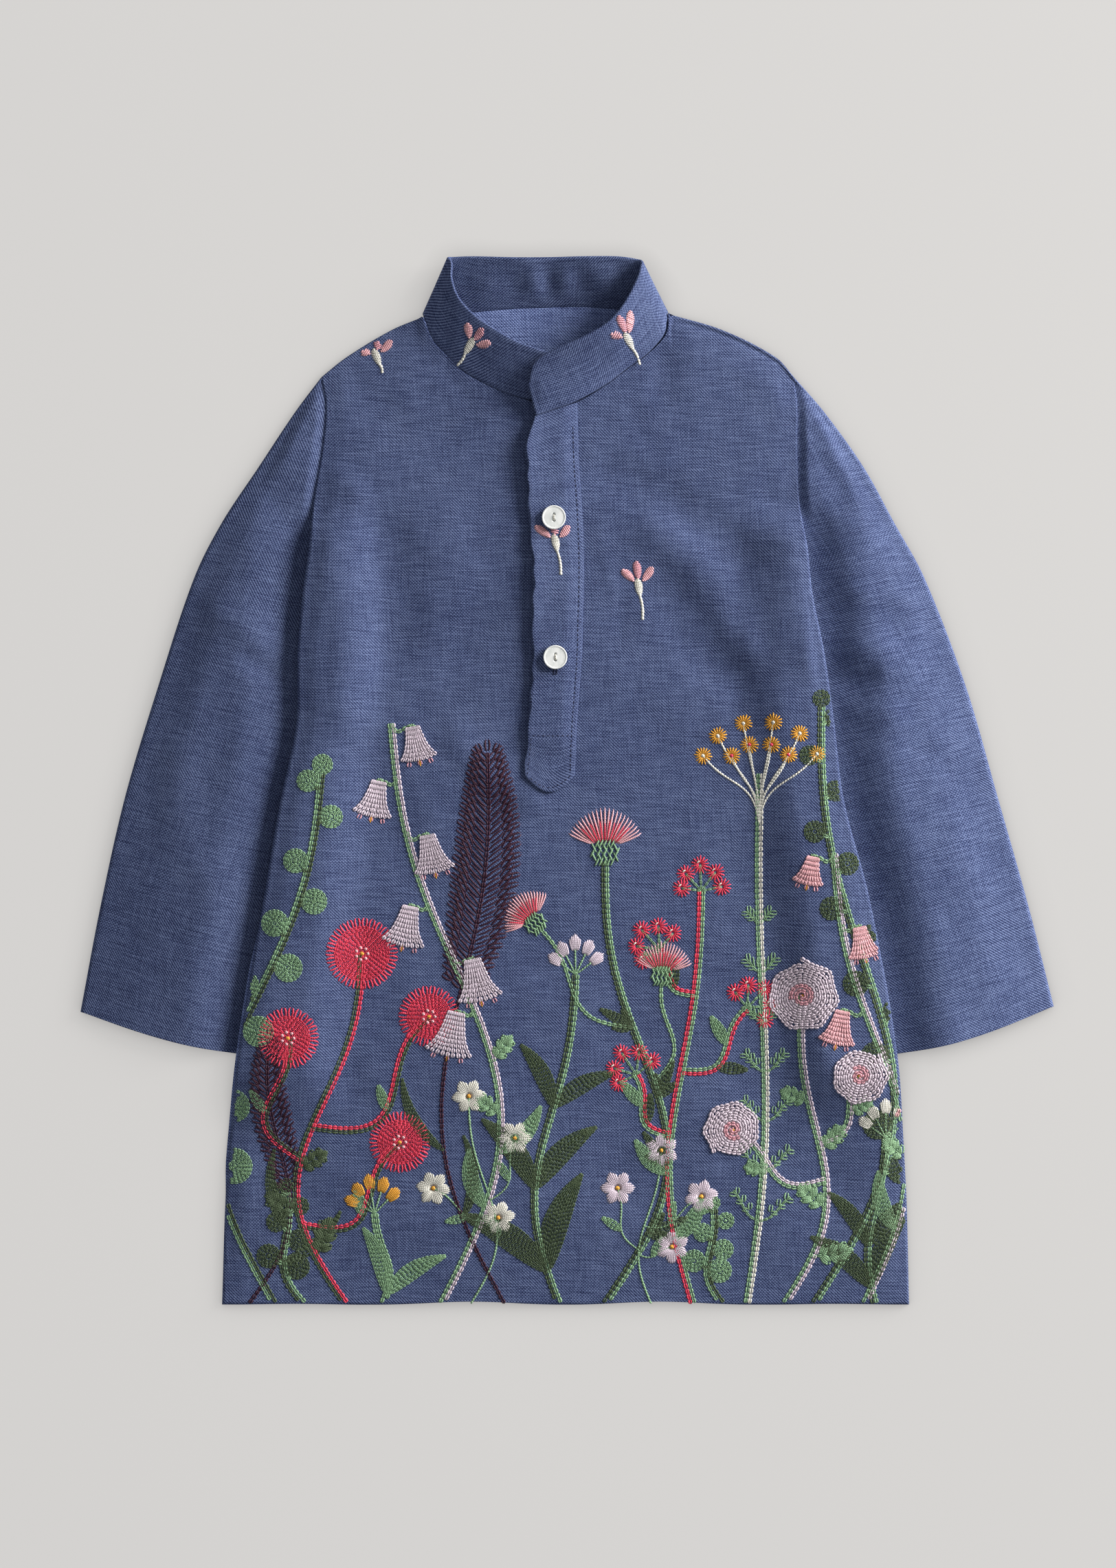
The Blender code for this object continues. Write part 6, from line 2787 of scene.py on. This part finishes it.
class Cut(NamedTuple):
    """What a cloth piece was cut to, in millimetres and square millimetres, and what it lies on."""

    width: float
    length: float
    area: float
    rests_on: tuple[str, ...] = ()


@dataclass
class Kurta:
    """The whole garment: its cloth pieces, buttons and stitches."""

    placket: Placket = field(default_factory=Placket)
    buttons: tuple[Button, ...] = (Button(1), Button(2))
    pieces: dict[str, bpy.types.Object] = field(default_factory=dict)
    sewn: dict[str, list[bpy.types.Object]] = field(default_factory=dict)

    def dress(self) -> None:
        """Builds each piece in its place."""
        cloth = ClothFinish("blue slub cloth").material()
        panels = {"front": Front(), "back": Back()}
        back_painted_lighter = ClothFinish("blue slub cloth, wrong side", 1.75).material()
        for node, panel in panels.items():
            face = back_painted_lighter if node == "back" else cloth
            self.add(node, panel.surface().shell(panel.wall), panel.name, face)
        arms = ((Sleeve(Side.LEFT, 3.4), 0.9), (Sleeve(Side.RIGHT, 4.5), 1.24))
        for sleeve, lightness in arms:
            sleeve_painted_name = f"blue slub cloth, {sleeve.side.name.lower()} sleeve"
            sleeve_painted_cloth = ClothFinish(sleeve_painted_name, lightness).material()
            self.add(sleeve.node, sleeve.surface().shell(sleeve.wall), sleeve.name, sleeve_painted_cloth)
        collar = Collar()
        band = collar.surface()
        self.add("collar", band, collar.name, cloth)
        self.add("placket_top", self.placket.surface(), self.placket.name, cloth)
        self.add("placket_under", self.placket.stand_surface(), self.placket.stand_name, cloth)
        self.add_buttons()
        self.embroider(band)

    def add(self, node: str, surface: Surface, name: str, finish: bpy.types.Material) -> None:
        """Shows a cloth piece in its node's place.

        Args:
            node: The CAD node that it stands for.
            surface: Its form.
            name: The object's name.
            finish: Its material.
        """
        piece = surface.show(name, finish)
        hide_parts(node)
        self.pieces[node] = piece

    def add_buttons(self) -> None:
        """Shows the buttons with their thread."""
        shell = ShellFinish().material()
        for button in self.buttons:
            piece = button.surface().show(f"{button.node}_shell", shell)
            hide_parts(button.node)
            button.sew_on()

    def embroider(self, collar: Surface) -> None:
        """Sews the border, the sprigs and the placket's stitches.

        Args:
            collar: The collar's outer face.
        """
        border = Needlework("border", Front().top)
        Meadow().sew(border)
        kept_on_cloth(border)
        self.sewn["front"] = border.make()
        grounds = {"front": Front().top, "placket_top": self.placket.top, "collar": SurfaceGround(collar)}
        for node, ground in grounds.items():
            work = Needlework(f"sprig_{node}", ground, 8)
            for sprig in SPRIGS[node]:
                sew_sprig(work, sprig)
            self.sewn.setdefault(node, []).extend(work.make())
        seams = Needlework("placket_sewing", self.placket.top, 3)
        sewing = PlainSewing()
        sewing.placket(seams)
        sewing.buttonhole(seams, self.buttons[0].centre(), -5.0, 5.0)
        sewing.buttonhole(seams, self.buttons[1].centre(), -8.0, 5.0)
        self.sewn["placket_top"].extend(seams.make())


@dataclass
class Studio:
    """The floor, the lights and the camera straight above."""

    floor_size: float = 6.0
    key_power: float = 98.0
    key_size: float = 1.3
    key_distance: float = 2.2
    key_elevation: float = 19.0
    key_azimuth: float = 28.0
    key_colour: tuple[float, float, float] = (1.0, 0.985, 0.96)
    fill_strength: float = 0.3
    fill_colour: tuple[float, float, float] = (0.96, 0.98, 1.0)
    floor_drop: float = 0.0002
    cloth_height: float = 5.0
    clip_end: float = 20.0

    def build(self) -> None:
        """Adds all of it."""
        self.add_floor()
        self.add_key()
        self.add_sky()
        self.add_camera()
        bpy.context.scene.view_settings.view_transform = "Standard"

    def add_floor(self) -> None:
        """A flat floor just under the cloth."""
        bpy.ops.mesh.primitive_plane_add(size=self.floor_size, location=(0.0, 0.0, -self.floor_drop))
        floor = bpy.context.active_object
        floor.name = "floor"
        floor.data.materials.append(FloorFinish().material())

    def add_key(self) -> None:
        """A soft low light from the right, a little above the picture's middle."""
        light = bpy.data.lights.new("key", "AREA")
        light.shape = "DISK"
        light.size = self.key_size
        light.energy = self.key_power
        light.color = self.key_colour
        lamp = bpy.data.objects.new("key", light)
        up, turn = math.radians(self.key_elevation), math.radians(self.key_azimuth)
        way = Vector((math.cos(up) * math.cos(turn), math.cos(up) * math.sin(turn), math.sin(up)))
        lamp.location = way * self.key_distance
        lamp.rotation_euler = way.to_track_quat("Z", "Y").to_euler()
        bpy.context.scene.collection.objects.link(lamp)

    def add_sky(self) -> None:
        """An even pale world."""
        world = bpy.data.worlds.new("studio")
        world.use_nodes = True
        sky = world.node_tree.nodes["Background"]
        sky.inputs["Color"].default_value = (*self.fill_colour, 1.0)
        sky.inputs["Strength"].default_value = self.fill_strength
        bpy.context.scene.world = world

    def add_camera(self) -> None:
        """The camera over the picture's middle, looking straight down."""
        camera = bpy.data.cameras.new("camera")
        camera.sensor_fit = "VERTICAL"
        half_height = 0.5 * IMAGE_HEIGHT * MM_PER_PIXEL
        camera.angle = 2.0 * math.atan(half_height / (CAMERA_HEIGHT - self.cloth_height))
        camera.clip_end = self.clip_end
        seat = bpy.data.objects.new("camera", camera)
        seat.location = (IMAGE_CENTRE[0] * METRES, IMAGE_CENTRE[1] * METRES, CAMERA_HEIGHT * METRES)
        bpy.context.scene.collection.objects.link(seat)
        bpy.context.scene.camera = seat


def main() -> None:
    """Builds the kurta and its studio."""
    logging.basicConfig(level=logging.INFO)
    Kurta().dress()
    Studio().build()


if __name__ == "__main__":
    main()
